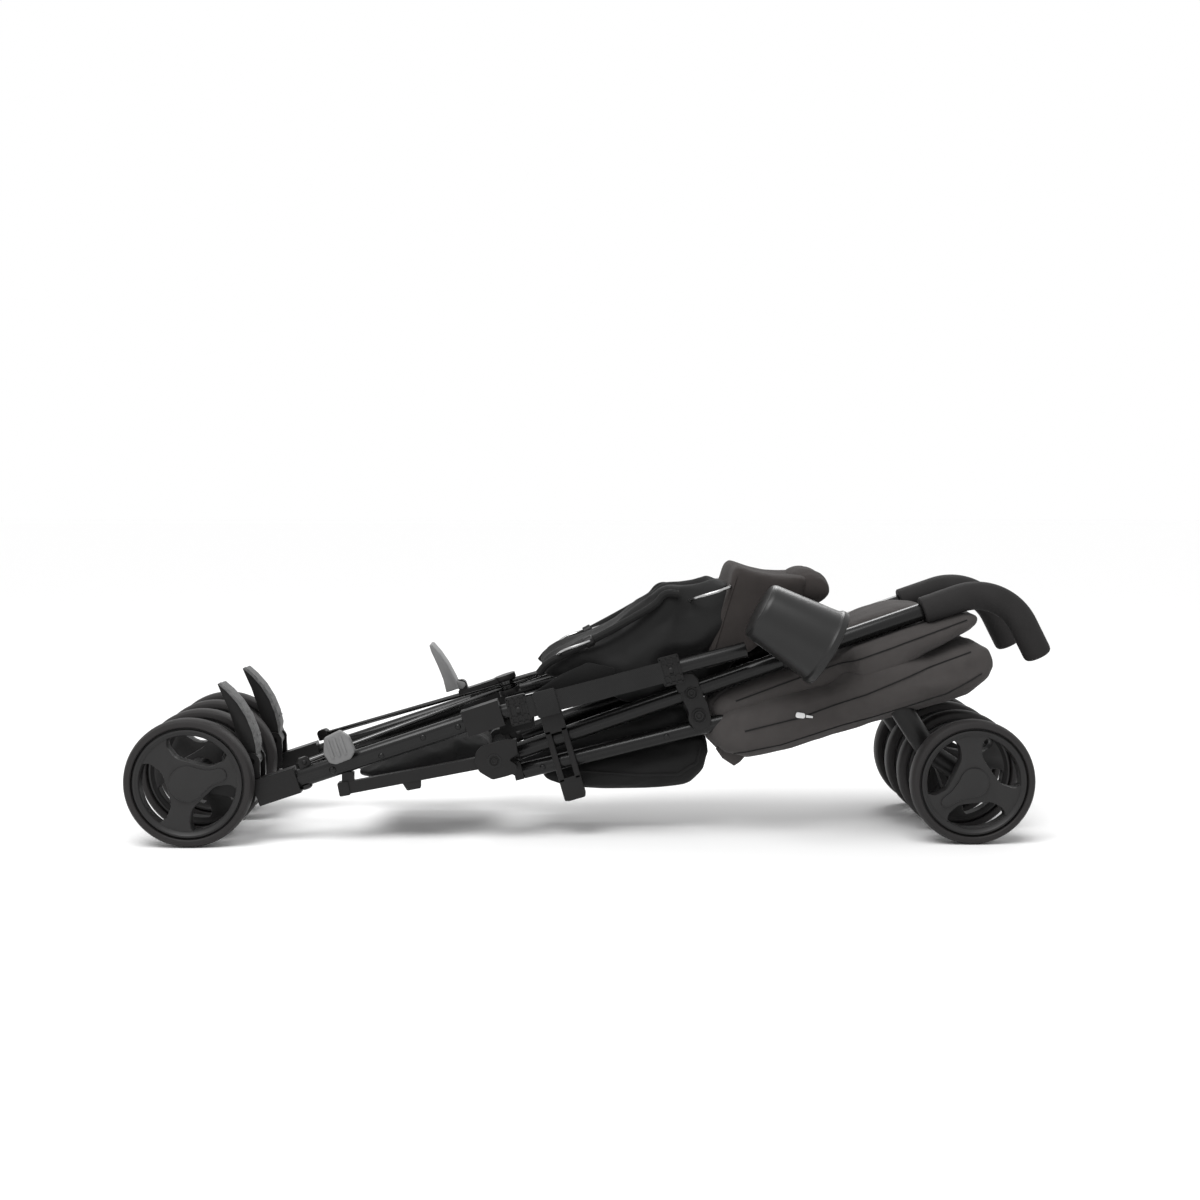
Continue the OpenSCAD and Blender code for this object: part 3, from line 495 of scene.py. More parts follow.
def hub_cover(bm, matrix, lobe, face, share):
    """A round hub cover with a lobe along one spoke, proud of the outer spoke face."""
    outline = [polar(20.5 * share, lobe + a) for a in range(48, 313, 12)]
    lead = Matrix.Rotation(math.radians(lobe), 2)
    for x, z in ((22.0, -10.5), (30.0, -8.0), (40.0, -7.4), (44.5, -4.6), (45.8, 0.0), (44.5, 4.6),
                 (40.0, 7.4), (30.0, 8.0), (22.0, 10.5)):
        outline.append(tuple(lead @ Vector((x, z * share)) - lead @ Vector((6.0 * (1.0 - share), 0.0))))
    stand_up = matrix @ Matrix.Rotation(-math.pi / 2, 4, "X")
    plate(bm, outline, -3.0 * face, stand_up @ Matrix.Translation((0, -8.7 * face, 0)), edge=0.8)


def wheel_pair(kind, side, axle, radius, turns, body):
    """Both wheels of a pair: tyres, rims and hub covers, each as one piece."""
    tyres, rims, covers = bmesh.new(), bmesh.new(), bmesh.new()
    for out, phase in turns:
        y = across(side, PAIR_Y + out * TWIN)
        # Local Z is the axle's direction and local X and Y lie in the wheel's plane
        wheel = Matrix.Translation((axle[0], y, axle[1])) @ Matrix.Rotation(math.pi / 2, 4, "X")
        tyre(tyres, wheel, radius)
        # The outer face looks along local +Z on the right of each pair
        face = -side * out
        rim(rims, wheel, radius, phase, face)
        hub_cover(covers, wheel, phase, face, COVER_SHARE[kind])
    piece(sided(f"{kind}_tyre_pair", side), tyres, "tyre_foam", body, [sided(f"{kind}_tyres", side)], 30)
    piece(sided(f"{kind}_rim_pair", side), rims, "rim_plastic", body, [sided(f"{kind}_rims", side)], 30)
    piece(sided(f"{kind}_hub_covers", side), covers, "rim_plastic", body)


# How far round the wheels of a pair stand, the outer one (1) and the inner one (-1)
REAR_TURNS = {RIGHT: ((1, 15), (-1, 60)), LEFT: ((1, 80), (-1, 35))}
FRONT_TURNS = {RIGHT: ((1, 215), (-1, 260)), LEFT: ((1, 300), (-1, 240))}
for side in SIDES:
    wheel_pair("rear", side, REAR_AXLE, REAR_WHEEL_R, REAR_TURNS[side], sided("rear_wheels", side))
    wheel_pair("front", side, FRONT_AXLE, FRONT_WHEEL_R, FRONT_TURNS[side], sided("front_wheels", side))


# Grips

# Where a grip starts along the pusher, its radius and its eased rim
GRIP_S, GRIP_R, GRIP_RIM = 497.3, 16.5, 1.2
# Its straight start, its bend's radius and degrees, and its straight end
GRIP_START, GRIP_BEND, GRIP_TURN, GRIP_END = 45.0, 62.0, 82.0, 42.0


def grip(side):
    """A foam sleeve bent into a hook, with a rounded end and a collar at the tube."""
    bm = bmesh.new()
    ring = bmesh.ops.create_circle(bm, cap_ends=False, segments=40, radius=GRIP_R - GRIP_RIM)["verts"]
    bmesh.ops.rotate(bm, verts=ring, cent=(0, 0, 0), matrix=Matrix.Rotation(math.pi / 2, 3, "Y"))

    def onwards(loop, vec, scale=1.0):
        """Grows the open end by one ring."""
        edges = [e for e in bm.edges if all(v in loop for v in e.verts)]
        grown = bmesh.ops.extrude_edge_only(bm, edges=edges)["geom"]
        verts = [g for g in grown if isinstance(g, bmesh.types.BMVert)]
        bmesh.ops.translate(bm, vec=vec, verts=verts)
        if scale != 1.0:
            middle = sum((v.co for v in verts), Vector()) / len(verts)
            bmesh.ops.scale(bm, vec=(scale,) * 3, space=Matrix.Translation(-middle), verts=verts)
        return set(verts)

    bmesh.ops.contextual_create(bm, geom=[e for e in bm.edges])
    loop = onwards(set(ring), (GRIP_RIM, 0, 0), GRIP_R / (GRIP_R - GRIP_RIM))
    loop = onwards(loop, (GRIP_START - GRIP_RIM, 0, 0))
    edges = [e for e in bm.edges if all(v in loop for v in e.verts)]
    bent = bmesh.ops.spin(bm, geom=list(loop) + edges, cent=(GRIP_START, 0, -GRIP_BEND), axis=(0, 1, 0),
                          dvec=(0, 0, 0), angle=math.radians(GRIP_TURN), steps=28)["geom_last"]
    loop = {g for g in bent if isinstance(g, bmesh.types.BMVert)}
    a = math.radians(GRIP_TURN)
    ahead = Vector((math.cos(a), 0, -math.sin(a)))
    loop = onwards(loop, ahead * (GRIP_END - 6.0))
    for gain, share in ((3.0, 0.96), (2.0, 0.9), (1.0, 0.85)):
        loop = onwards(loop, ahead * gain, share)
    loop = onwards(loop, -ahead * 1.5, 0.72)
    bmesh.ops.contextual_create(bm, geom=[e for e in bm.edges if all(v in loop for v in e.verts)])
    place(bm, list(bm.verts), seat_on(PUSHER, GRIP_S, 0, across(side, PUSHER_Y)))
    piece(sided("grip", side), bm, "grip_foam", sided("handle", side), [sided("handle", side)])


for side in SIDES:
    grip(side)


# Cup holder

def cup_holder():
    """A tapered cup with a rolled base edge and a band round its mouth."""
    bm = bmesh.new()
    profile = [(0.0, 0.0), (27.0, 0.0), (30.5, 0.8), (32.6, 3.0), (33.8, 6.0), (42.4, 78.0), (43.4, 82.0),
               (44.6, 83.2), (45.6, 84.6), (45.9, 88.0), (45.4, 91.0), (44.0, 92.0), (42.8, 91.2),
               (42.2, 88.0), (31.4, 12.0), (30.5, 5.5), (28.0, 4.0), (0.0, 4.0)]
    base = on(PUSHER, 313, 72, across(RIGHT, 126))
    stand = Matrix.Translation(base) @ Matrix.Rotation(math.radians(29.4 + 90), 4, "Y")
    lathe(bm, profile, stand, 96)
    piece("cup", bm, "cup_plastic", "back_right", ["cup_holder"], 30)


cup_holder()


# Cloth: closed forms lofted from rounded sections, swelled by a pressure run, then folded along their length

SECTION_POINTS = 40
# A leaning section keeps its place at this height above the slope
LEAN_N = 70.0
# The pressure and the number of frames of the run that swells the cloth
SWELL_PRESSURE, SWELL_FRAMES = 4.0, 20
# Where the brackets gather the cloth, in metres along the pusher
GATHER = 0.225


def rounded(share, power):
    """Pushes a point of a circle out towards a square's."""
    return math.copysign(abs(share) ** (2.0 / power), share)


def loft(bm, line, rows, power, lean):
    """A closed form through rows of (s, low n, high n, half width); lean slants its sections."""
    loops = []
    for s, low, high, half in rows:
        ring = bmesh.ops.create_circle(bm, cap_ends=False, segments=SECTION_POINTS, radius=1.0)["verts"]
        for v in ring:
            across_y, up = rounded(v.co.x, power), rounded(v.co.y, power)
            n = (low + high) / 2 + up * (high - low) / 2
            v.co = on(line, s + lean * (n - LEAN_N), n, MID_Y + across_y * half)
        loops.append(set(ring))
    for a, b in zip(loops, loops[1:]):
        edges = [e for e in bm.edges if all(v in a for v in e.verts) or all(v in b for v in e.verts)]
        bmesh.ops.bridge_loops(bm, edges=edges)
    for end in (loops[0], loops[-1]):
        bmesh.ops.contextual_create(bm, geom=[e for e in bm.edges if all(v in end for v in e.verts)])


def keep_evaluated(obj):
    """Applies the modifiers of an object to its mesh."""
    ready = obj.evaluated_get(bpy.context.evaluated_depsgraph_get())
    mesh = bpy.data.meshes.new_from_object(ready)
    for material in obj.data.materials:
        if material.name not in mesh.materials:
            mesh.materials.append(material)
    obj.modifiers.clear()
    obj.data = mesh


def remeshed(obj, voxel):
    """Gives a form even faces of one size."""
    even = obj.modifiers.new("even", "REMESH")
    even.mode, even.voxel_size = "VOXEL", voxel
    keep_evaluated(obj)


def swell(obj, cap):
    """Blows the form up as cloth, and keeps every point within cap metres of where it was."""
    scene = bpy.context.scene
    start = [v.co.copy() for v in obj.data.vertices]
    cloth = obj.modifiers.new("cloth", "CLOTH")
    cloth.settings.quality = 4
    cloth.settings.use_pressure = True
    cloth.settings.uniform_pressure_force = SWELL_PRESSURE
    cloth.settings.effector_weights.gravity = 0.0
    for number in range(1, SWELL_FRAMES + 1):
        scene.frame_set(number)
    ready = obj.evaluated_get(bpy.context.evaluated_depsgraph_get())
    swelled = [v.co.copy() for v in ready.data.vertices]
    obj.modifiers.clear()
    for v, first, last in zip(obj.data.vertices, start, swelled):
        move = last - first
        v.co = first + (move if move.length <= cap else move.normalized() * cap)
    scene.frame_set(1)


def fold_cloth(obj, line, depth, wide, long, seed, gather=None):
    """Presses soft folds that run along the slope into the cloth."""
    x, z, a = line
    along, up = Vector((math.cos(a), 0, math.sin(a))), Vector((-math.sin(a), 0, math.cos(a)))
    foot = Vector((x * MM, MID_Y * MM, z * MM))
    normals = [v.normal.copy() for v in obj.data.vertices]
    for v, normal in zip(obj.data.vertices, normals):
        from_foot = v.co - foot
        s, n, y = from_foot.dot(along), from_foot.dot(up), from_foot.y
        spot = Vector((s / long + seed, n / wide + 0.35 * s / long, y / wide))
        crease = 0.35 - 1.6 * abs(noise.noise(spot * 0.8 + Vector((0, seed, 1.7))))
        press = 0.55 * noise.noise(spot) + 0.75 * crease
        strength = 1.0
        if gather is not None:
            strength += 1.6 * max(0.0, 1.0 - abs(s - gather) / 0.07)
        v.co += normal * (depth * strength * press)


def halved(obj, side):
    """A copy of a cloth piece cut at the middle plane."""
    bm = bmesh.new()
    bm.from_mesh(obj.data)
    bmesh.ops.bisect_plane(bm, geom=bm.verts[:] + bm.edges[:] + bm.faces[:], plane_co=(0, MID_Y * MM, 0),
                           plane_no=(0, -side, 0), clear_outer=True, dist=1e-6)
    mesh = bpy.data.meshes.new(obj.name)
    bm.to_mesh(mesh)
    bm.free()
    mesh.polygons.foreach_set("use_smooth", [True] * len(mesh.polygons))
    return mesh


def soft_piece(name, line, rows, finish, stands_for, cap, folds, voxel=0.005, power=3.2,
               lean=0.0):
    """A cloth form in two halves, cut at the middle plane, that hide the parts they stand for."""
    bm = bmesh.new()
    loft(bm, line, rows, power, lean)
    whole = to_object(name, bm, finish)
    remeshed(whole, voxel)
    if cap:
        swell(whole, cap)
    fold_cloth(whole, line, *folds)
    made = []
    for side in SIDES:
        half = linked(sided(name, side), halved(whole, side))
        half.data.materials.clear()
        half.data.materials.append(FINISHES[finish])
        smooth = half.modifiers.new("smooth", "SUBSURF")
        smooth.levels = smooth.render_levels = 1
        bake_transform(half)
        made.append(half)
    bpy.data.objects.remove(whole)
    for half, nodes in zip(made, stands_for):
        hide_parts(*nodes)
    return made


# Rows of each cloth form: along its slope, its lower and upper edge above the slope, and half its width
CANOPY_UPPER = [(226, -42, -24, 64), (238, -46, -18, 73), (280, -50, -15, 74), (330, -52, -14, 74),
                (386, -54, -14, 75), (404, -58, -14, 98), (450, -56, -14, 99), (485, -46, -14, 95),
                (515, -42, -15, 90), (546, -37, -16, 84), (559, -32, -21, 78)]
CANOPY_CROWN = [(398, -18, 4, 42), (408, -20, 11, 49), (440, -20, 15, 51), (478, -20, 13, 51),
                (500, -20, 5, 47), (512, -18, -6, 40)]
CANOPY_LOWER = [(212, -62, -46, 66), (222, -84, -36, 78), (246, -97, -30, 84), (300, -101, -36, 87),
                (368, -102, -44, 90), (402, -102, -32, 99), (450, -104, -34, 100), (485, -106, -48, 97),
                (520, -107, -50, 94), (546, -99, -54, 90), (559, -87, -64, 84)]
SEAT_BACK = [(54, 73, 81, 46), (62, 68, 85, 57), (78, 65, 88, 64), (100, 58, 90, 67), (118, 40, 92, 68),
             (138, 15, 95, 68), (170, 13, 101, 68), (205, 13, 109, 68), (224, 13, 117, 68),
             (240, 13, 111, 68), (262, 15, 108, 68), (284, 17, 110, 66), (296, 40, 108, 62)]
SEAT_TOP = [(270, 22, 121, 70), (276, 18, 121, 73), (300, 16, 109, 74), (330, 20, 96, 74), (352, 30, 89, 72),
            (372, 36, 84, 68), (382, 44, 76, 60)]
SEAT_ROLL = [(362, 60, 82, 58), (368, 52, 88, 64), (380, 45, 91, 67), (392, 44, 88, 67), (401, 48, 80, 65),
             (405, 56, 72, 58)]
SLING = [(-12, 0, 14, 40), (0, -3, 17, 45), (40, -4, 20, 53), (90, -4, 25, 55), (150, -4, 30, 55),
         (190, -3, 33, 55), (206, 2, 30, 50)]
BASKET = [(20, -22, -8, 48), (50, -38, -7, 54), (90, -50, -7, 55), (150, -64, -7, 55), (184, -69, -7, 55),
          (206, -56, -8, 53), (217, -38, -12, 48)]
REAR_CLOTH = [(-164, 5, 13, 58), (-150, 0, 16, 70), (-119, -7, 22, 75), (-70, -13, 28, 76),
              (-44, -14, 31, 70), (-30, -12, 26, 50), (-14, -8, 20, 44), (-6, -2, 14, 38)]

# The swell's cap and the folds' depth, width and length are metres; folds end with a seed and a gather
CLOTH = {
    "canopy_upper": soft_piece("canopy_upper", PUSHER, CANOPY_UPPER, "canopy_cloth",
                               [["canopy_side_right"], ["canopy_side_left"]], cap=0.004,
                               folds=(0.0022, 0.03, 0.3, 1.7, GATHER), power=5.0),
    "canopy_lower": soft_piece("canopy_lower", PUSHER, CANOPY_LOWER, "canopy_cloth", [["canopy"]],
                               cap=0.004, folds=(0.003, 0.026, 0.3, 5.2, GATHER), power=5.0),
    "canopy_crown": soft_piece("canopy_crown", PUSHER, CANOPY_CROWN, "canopy_cloth", [], cap=0.002,
                               folds=(0.003, 0.03, 0.08, 6.1)),
    "seat_back": soft_piece("seat_cloth_back", PUSHER, SEAT_BACK, "seat_cloth", [["seat_back"]],
                            cap=0.004, folds=(0.009, 0.04, 0.07, 9.4, GATHER), power=7.0),
    "seat_top": soft_piece("seat_cloth_top", PUSHER, SEAT_TOP, "seat_top_cloth", [["seat_back_top"]],
                           cap=0.0, folds=(0.0022, 0.05, 0.1, 2.6), voxel=0.004, power=10.0,
                           lean=0.72),
    "seat_roll": soft_piece("seat_cloth_roll", PUSHER, SEAT_ROLL, "seat_top_cloth", [], cap=0.002,
                            folds=(0.0025, 0.03, 0.05, 8.3)),
    "sling": soft_piece("seat_cloth_sling", FRONT, SLING, "seat_cloth", [["seat_sling"]], cap=0.004,
                        folds=(0.004, 0.02, 0.09, 7.1)),
    "basket": soft_piece("basket_cloth", FRONT, BASKET, "seat_cloth", [["basket"]], cap=0.004,
                         folds=(0.003, 0.025, 0.12, 4.3)),
    "rear_cloth": soft_piece("basket_flap", HINGE_BAR, REAR_CLOTH, "seat_cloth", [], cap=0.002,
                             folds=(0.004, 0.02, 0.06, 3.7)),
}


# Seams and trim on the cloth

WELL_OUTSIDE = 200.0


def close_set(spots, step=8.0):
    """The same run of spots with further ones between them, a step apart."""
    run = []
    for a, b in zip(spots, spots[1:]):
        a, b = Vector(a), Vector(b)
        parts = max(1, round((b - a).length / step))
        run += [tuple(a.lerp(b, k / parts)) for k in range(parts)]
    return run + [tuple(spots[-1])]


def skin_points(half, line, side, spots, proud=0.5):
    """Points on a cloth half's outer side, found by looking in from that side."""
    tree = BVHTree.FromObject(half, bpy.context.evaluated_depsgraph_get())
    found = []
    for s, n in spots:
        start = on(line, s, n, across(side, WELL_OUTSIDE)) * MM
        hit = tree.ray_cast(start, Vector((0, -side, 0)))[0]
        if hit is not None:
            found.append(Vector((hit.x, hit.y + side * proud * MM, hit.z)) / MM)
    return found


def piping(name, key, line, spots, radius, finish, body):
    """A sewn edge on both sides of a cloth piece."""
    for index, side in enumerate(SIDES):
        points = skin_points(CLOTH[key][index], line, side, close_set(spots))
        if len(points) > 2:
            bm = bmesh.new()
            tube_along(bm, points, radius)
            piece(sided(name, side), bm, finish, sided(body, side))


piping("canopy_low_seam", "canopy_lower", PUSHER,
       [(236, -84), (290, -92), (360, -93), (430, -95), (490, -96), (536, -88)], 0.8, "seat_cloth", "back")
piping("canopy_mid_seam", "canopy_lower", PUSHER,
       [(256, -62), (320, -68), (400, -66), (480, -60), (532, -60)], 0.8, "seat_cloth", "back")
piping("canopy_top_seam", "canopy_upper", PUSHER,
       [(258, -27), (330, -26), (400, -25), (470, -24), (540, -24)], 0.8, "seat_cloth", "back")
piping("seat_top_hem", "seat_top", PUSHER,
       [(250, 32), (264, 52), (282, 77), (306, 110)], 0.8, "seat_top_cloth", "back")
piping("basket_hem", "basket", FRONT,
       [(60, -18), (100, -30), (140, -42), (175, -50), (200, -42), (209, -24)], 1.6, "seat_cloth", "front")


def back_edge(side):
    """The bound upper edge of the seat back, with a clip round it."""
    bm = bmesh.new()
    y = across(side, 66)
    spots = ((52, 78), (64, 85), (86, 89), (134, 96), (180, 104), (207, 110), (222, 117), (236, 112))
    tube_along(bm, [on(PUSHER, s, n, y) for s, n in spots], 4.6)
    piece(sided("back_edge", side), bm, "seat_cloth", sided("back", side))
    bm = bmesh.new()
    lathe(bm, [(4.2, -5.0), (6.0, -5.0), (6.6, -4.4), (6.6, 4.4), (6.0, 5.0), (4.2, 5.0)],
          seat_on(PUSHER, 120, 94, y, 8) @ Matrix.Rotation(math.pi / 2, 4, "Y"), 32, closed=True)
    piece(sided("back_clip", side), bm, "black_plastic", sided("back", side))


def tail_flap(side):
    """A loose corner of cloth that hangs out of the canopy's folded end."""
    bm = bmesh.new()
    plate(bm, [(218, -74), (222, -88), (232, -101), (240, -99), (256, -90), (246, -74)], 2.0 * side,
          seat_on(PUSHER, 0, 0, across(side, 58)), corner=1.0, edge=0.7)
    piece(sided("canopy_tail", side), bm, "canopy_cloth", sided("back", side))


def tucked_cloth(side):
    """A fold of the seat cloth that lies behind the main tube."""
    bm = bmesh.new()
    for outline in ([(52, 8), (160, 8), (160, 16), (132, 30), (98, 24), (66, 13)],
                    [(14, -8), (14, -28), (54, -26), (58, -8)]):
        plate(bm, outline, 1.6 * side, seat_on(MAIN, 0, 0, across(side, 77.6)), corner=2.0, edge=0.6)
    piece(sided("tucked_cloth", side), bm, "seat_cloth", sided("rear", side))


for side in SIDES:
    back_edge(side)
    tail_flap(side)
    tucked_cloth(side)


def zip_pull():
    """A plain pale tab on the canopy's zip, with its slider."""
    seat = skin_points(CLOTH["canopy_lower"][0], PUSHER, RIGHT, [(324, -66)], 2.2)
    if not seat:
        return
    bm = bmesh.new()
    hang = Matrix.Translation(seat[0]) @ Matrix.Rotation(math.radians(8), 4, "Y")
    plate(bm, [(-7.0, -3.4), (4.0, -3.0), (4.0, 3.0), (-7.0, 3.4)], 2.0, hang, corner=2.4, edge=0.5)
    plate(bm, [(5.0, -1.6), (13.0, -1.2), (13.0, 1.2), (5.0, 1.6)], 2.0, hang, corner=0.6, edge=0.5)
    piece("zip_pull", bm, "pull_plastic", "back_right")


zip_pull()


# Fittings of the rear frame

def facing_out(spot, side):
    """A matrix whose Z looks outwards on one side."""
    return Matrix.Translation(spot) @ Matrix.Rotation(-side * math.pi / 2, 4, "X")


def bolt(bm, spot, side, radius, proud=2.4):
    """A ringed bolt cap that faces outwards, with a socket in its middle."""
    cap = [(0.0, 0.35), (0.3, 0.35), (0.38, 0.8), (0.62, 0.9), (0.7, 0.5), (0.8, 0.5), (0.86, 1.0),
           (0.97, 1.0), (1.0, 0.7)]
    lathe(bm, [(r * radius, h * proud) for r, h in cap] + [(radius, -1.0)], facing_out(spot, side), 32)


def rivet(bm, spot, side, radius):
    """A domed rivet head that faces outwards."""
    dome = [(0.0, 0.55), (0.5, 0.48), (0.85, 0.25), (1.0, 0.0)]
    lathe(bm, [(r * radius, h * radius) for r, h in dome] + [(radius, -0.8)], facing_out(spot, side), 24)


def hinge_cover(side):
    """The plate over the main hinge, with its arms along the two tubes."""
    bm = bmesh.new()
    over = Matrix.Translation((HINGE_BAR[0], across(side, 96.3), HINGE_BAR[1]))
    outline = [(-23, -1), (-21, 10), (-15, 17), (12, 25), (25, 25), (27, 8), (17, 1), (26, -5), (26, -14),
               (14, -18), (-2, -22), (-17, -13)]
    plate(bm, outline, 1.8 * side, over, corner=2.5, edge=0.6)
    # The flange that reaches in over the tubes' ends
    flange = [(6, 18), (25, 25), (27, 8), (17, 1), (26, -5), (26, -14), (12, -17), (10, 0)]
    plate(bm, flange, -12.0 * side, over, corner=2.0, edge=0.6)
    tab = seat_on(HINGE_BAR, -98, -12, across(side, LEG_Y - 4))
    plate(bm, [(-11, 6), (11, 6), (9, -4), (-7, -4)], 8.0 * side, tab, corner=1.5, edge=0.5)
    end = seat_on(HINGE_BAR, -178, 0, across(side, LEG_Y - 6.5))
    plate(bm, oblong(-4, -8.2, 9, 8.2), 13.0 * side, end, corner=2.0, edge=0.8)
    bolt(bm, Vector((HINGE_BAR[0], across(side, 99.0), HINGE_BAR[1])), side, 6.0, 1.6)
    piece(sided("hinge_cover", side), bm, "black_plastic", sided("rear", side))


def leg_studs(side):
    """Rivets along the rear leg and the front leg, and the stop under the leg."""
    bm = bmesh.new()
    y = across(side, LEG_Y + 8.0)
    for s, n, radius in ((86, -2, 4.2), (144, -4, 3.4), (196, 1, 3.4), (238, 0, 3.4)):
        rivet(bm, on(LEG, s, n, y), side, radius)
    stop = seat_on(LEG, 50, -11, across(side, LEG_Y)) @ Matrix.Rotation(math.pi, 4, "X")
    lathe(bm, [(0.0, 4.0), (4.5, 3.4), (7.0, 1.6), (7.5, 0.0), (7.5, -2.0)], stop, 28)
    piece(sided("leg_studs", side), bm, "frame_metal", sided("rear", side))
    bm = bmesh.new()
    for s in (172, 24):
        rivet(bm, on(FRONT, s, 0, across(side, PUSHER_Y + 9.3)), side, 3.4)
    piece(sided("front_leg_rivets", side), bm, "frame_metal", sided("front", side))


def brake_pedal(side):
    """A curved leaf on the brake: a black body with a grey tread."""
    pivot = on(LEG, 0, 36, across(side, PAIR_Y))
    leaf = (pivot.x, pivot.z, math.radians(110))
    tread = [(2, -6.5), (16, -10.5), (32, -12.5), (50, -12.0), (68, -8.5), (84, -2.5), (96, 4.0)]
    back = [(97, 6.5), (86, 6.0), (70, 5.0), (52, 5.5), (34, 7.0), (16, 9.0), (0, 9.5)]
    bm = bmesh.new()
    plate(bm, tread + back, 17.0, seat_on(leaf, 0, 0, pivot.y - 8.5), corner=1.2, edge=1.5)
    lathe(bm, [(0.0, -14.5), (7.0, -14.5), (8.0, -13.5), (8.0, 13.5), (7.0, 14.5), (0.0, 14.5)],
          Matrix.Translation(pivot) @ Matrix.Rotation(math.pi / 2, 4, "X"), 32)
    piece(sided("brake_body", side), bm, "black_plastic", sided("brake", side), [sided("brake_pedal", side)])
    bm = bmesh.new()
    face = [(s, n + 0.6) for s, n in tread] + [(s, n - 3.2) for s, n in reversed(tread[1:])]
    plate(bm, face, 25.0, seat_on(leaf, 0, 0, pivot.y - 12.5), corner=1.0, edge=0.9)
    for s, n in ((26, -15.6), (40, -15.5), (54, -14.2), (68, -11.2)):
        rib = seat_on(leaf, s, n, pivot.y) @ Matrix.Diagonal((2.2, 17.0, 1.6, 1.0))
        bmesh.ops.create_cube(bm, size=1.0, matrix=rib)
    piece(sided("brake_tread", side), bm, "tread_plastic", sided("brake", side))


def lock_lever():
    """A grey thumb lever with finger ribs, on a stub at the leg."""
    bm = bmesh.new()
    y = across(RIGHT, LEG_Y + 9.0)
    seat = seat_on(LEG, 101, 12, y)
    outline = [(-14, -4), (-17, 8), (-11, 25), (9, 28), (17, 18), (18, 0), (11, -7), (-7, -8)]
    plate(bm, outline, -11.0, seat, corner=2.0, edge=2.2, edge_segments=3)
    for x in (-7.5, 0.0, 7.5):
        plate(bm, oblong(x - 1.7, 0, x + 1.7, 22), -2.0, seat @ Matrix.Translation((0, -10.6, 0)),
              corner=1.2, edge=0.8)
    rod(bm, on(LEG, 101, 12, across(RIGHT, LEG_Y + 8.3)), on(LEG, 101, 12, y - 4), 5.5)
    piece("thumb_lever", bm, "grey_plastic", "lock_lever", ["lock_lever"])


def fold_pedal():
    """A grey blade that stands on the cross hub, hollowed towards the foot."""
    bm = bmesh.new()
    hub = seat_on(LEG, HUB_S, 0, MID_Y)
    blade = [(-55, 33), (-56, 46), (-59, 64), (-63.5, 80), (-69, 93), (-72, 93.5), (-72.5, 86), (-70.5, 68),
             (-69.5, 50), (-71, 33)]
    plate(bm, blade, 36.0, hub @ Matrix.Translation((0, -18, 0)), corner=1.4, edge=1.6)
    for y in (-10.3, 6.3):
        plate(bm, [(-64, 35), (-52, 30.5), (-47, 33), (-47, 37), (-52, 40), (-58, 43)], 4.0,
              hub @ Matrix.Translation((0, y, 0)), corner=2.0, edge=0.6)
    piece("fold_blade", bm, "grey_plastic", "fold_pedal", ["fold_pedal"])


def carry_strap():
    """Flat webbing between two ribbed anchor plates."""
    bm = bmesh.new()
    grid = bmesh.ops.create_grid(bm, x_segments=30, y_segments=4, size=0.5)["verts"]
    for v in grid:
        s, w = 132 + 160 * v.co.x, 24 * v.co.y
        bow = 1.6 * math.cos(math.pi * v.co.x) + 0.5 * math.sin(9 * math.pi * v.co.x)
        v.co = on(MAIN, s, w, across(RIGHT, LEG_Y + 13.6 + bow))
    bmesh.ops.recalc_face_normals(bm, faces=bm.faces)
    bmesh.ops.solidify(bm, geom=bm.faces[:], thickness=1.6)
    piece("strap_webbing", bm, "webbing", "rear_right", ["carry_strap"], 50)
    bm = bmesh.new()
    for s in (42, 222):
        seat = seat_on(MAIN, s, 0, across(RIGHT, LEG_Y + 8.4))
        plate(bm, oblong(-12, -17, 12, 17), -5.6, seat, corner=2.5, edge=0.6)
        ribs = [oblong(x - 1.0, -15.5, x + 1.0, 15.5) for x in (-10, -3.4, 3.4, 10)]
        ribs += [oblong(-11, z - 1.0, 11, z + 1.0) for z in (-14.5, -7, 7, 14.5)]
        for rib in ribs:
            plate(bm, rib, -1.6, seat @ Matrix.Translation((0, -5.4, 0)), edge=0.4)
        rivet(bm, on(MAIN, s, 0, across(RIGHT, LEG_Y + 14.0)), RIGHT, 4.2)
    piece("strap_plates", bm, "black_plastic", "rear_right", ["strap_anchors"])
    bm = bmesh.new()
    loop = seat_on(MAIN, HOOK_S, 0, across(RIGHT, LEG_Y + 14.4))
    plate(bm, oblong(-13, -15, 13, 15), -3.4, loop, corner=2.0, edge=1.0)
    piece("strap_loop", bm, "webbing", "rear_right")


def fold_hook():
    """A slotted frame that hangs from a collar on the main tube."""
    bm = bmesh.new()
    collar = seat_on(MAIN, HOOK_S, 0, across(RIGHT, LEG_Y))
    sleeve = collar @ Matrix.Rotation(math.pi / 2, 4, "Y") @ Matrix.Translation((0, 0, -11))
    ring = [(9.4, 0.0), (12.2, 0.0), (13.0, 0.8), (13.0, 21.2), (12.2, 22.0), (9.4, 22.0)]
    lathe(bm, ring, sleeve, 40, closed=True)
    start = on(MAIN, HOOK_S, 0)
    down = (start.x, start.z, math.radians(-73.8))
    seat = seat_on(down, 0, 0, across(RIGHT, LEG_Y - 11))
    plate(bm, oblong(6, -13, 40, 13), 7.0, seat, corner=2.0, edge=0.8)
    for low, high in ((-13, -6.2), (6.2, 13)):
        plate(bm, oblong(36, low, 98, high), 7.0, seat, corner=0.8, edge=0.9)
    foot = [(94, -13), (120, -13), (121.5, -8), (121.5, 11), (118, 13), (94, 13)]
    plate(bm, foot, 12.0, seat, corner=1.5, edge=1.1)
    piece("hook_frame", bm, "black_plastic", "fold_hook", ["fold_hook"])


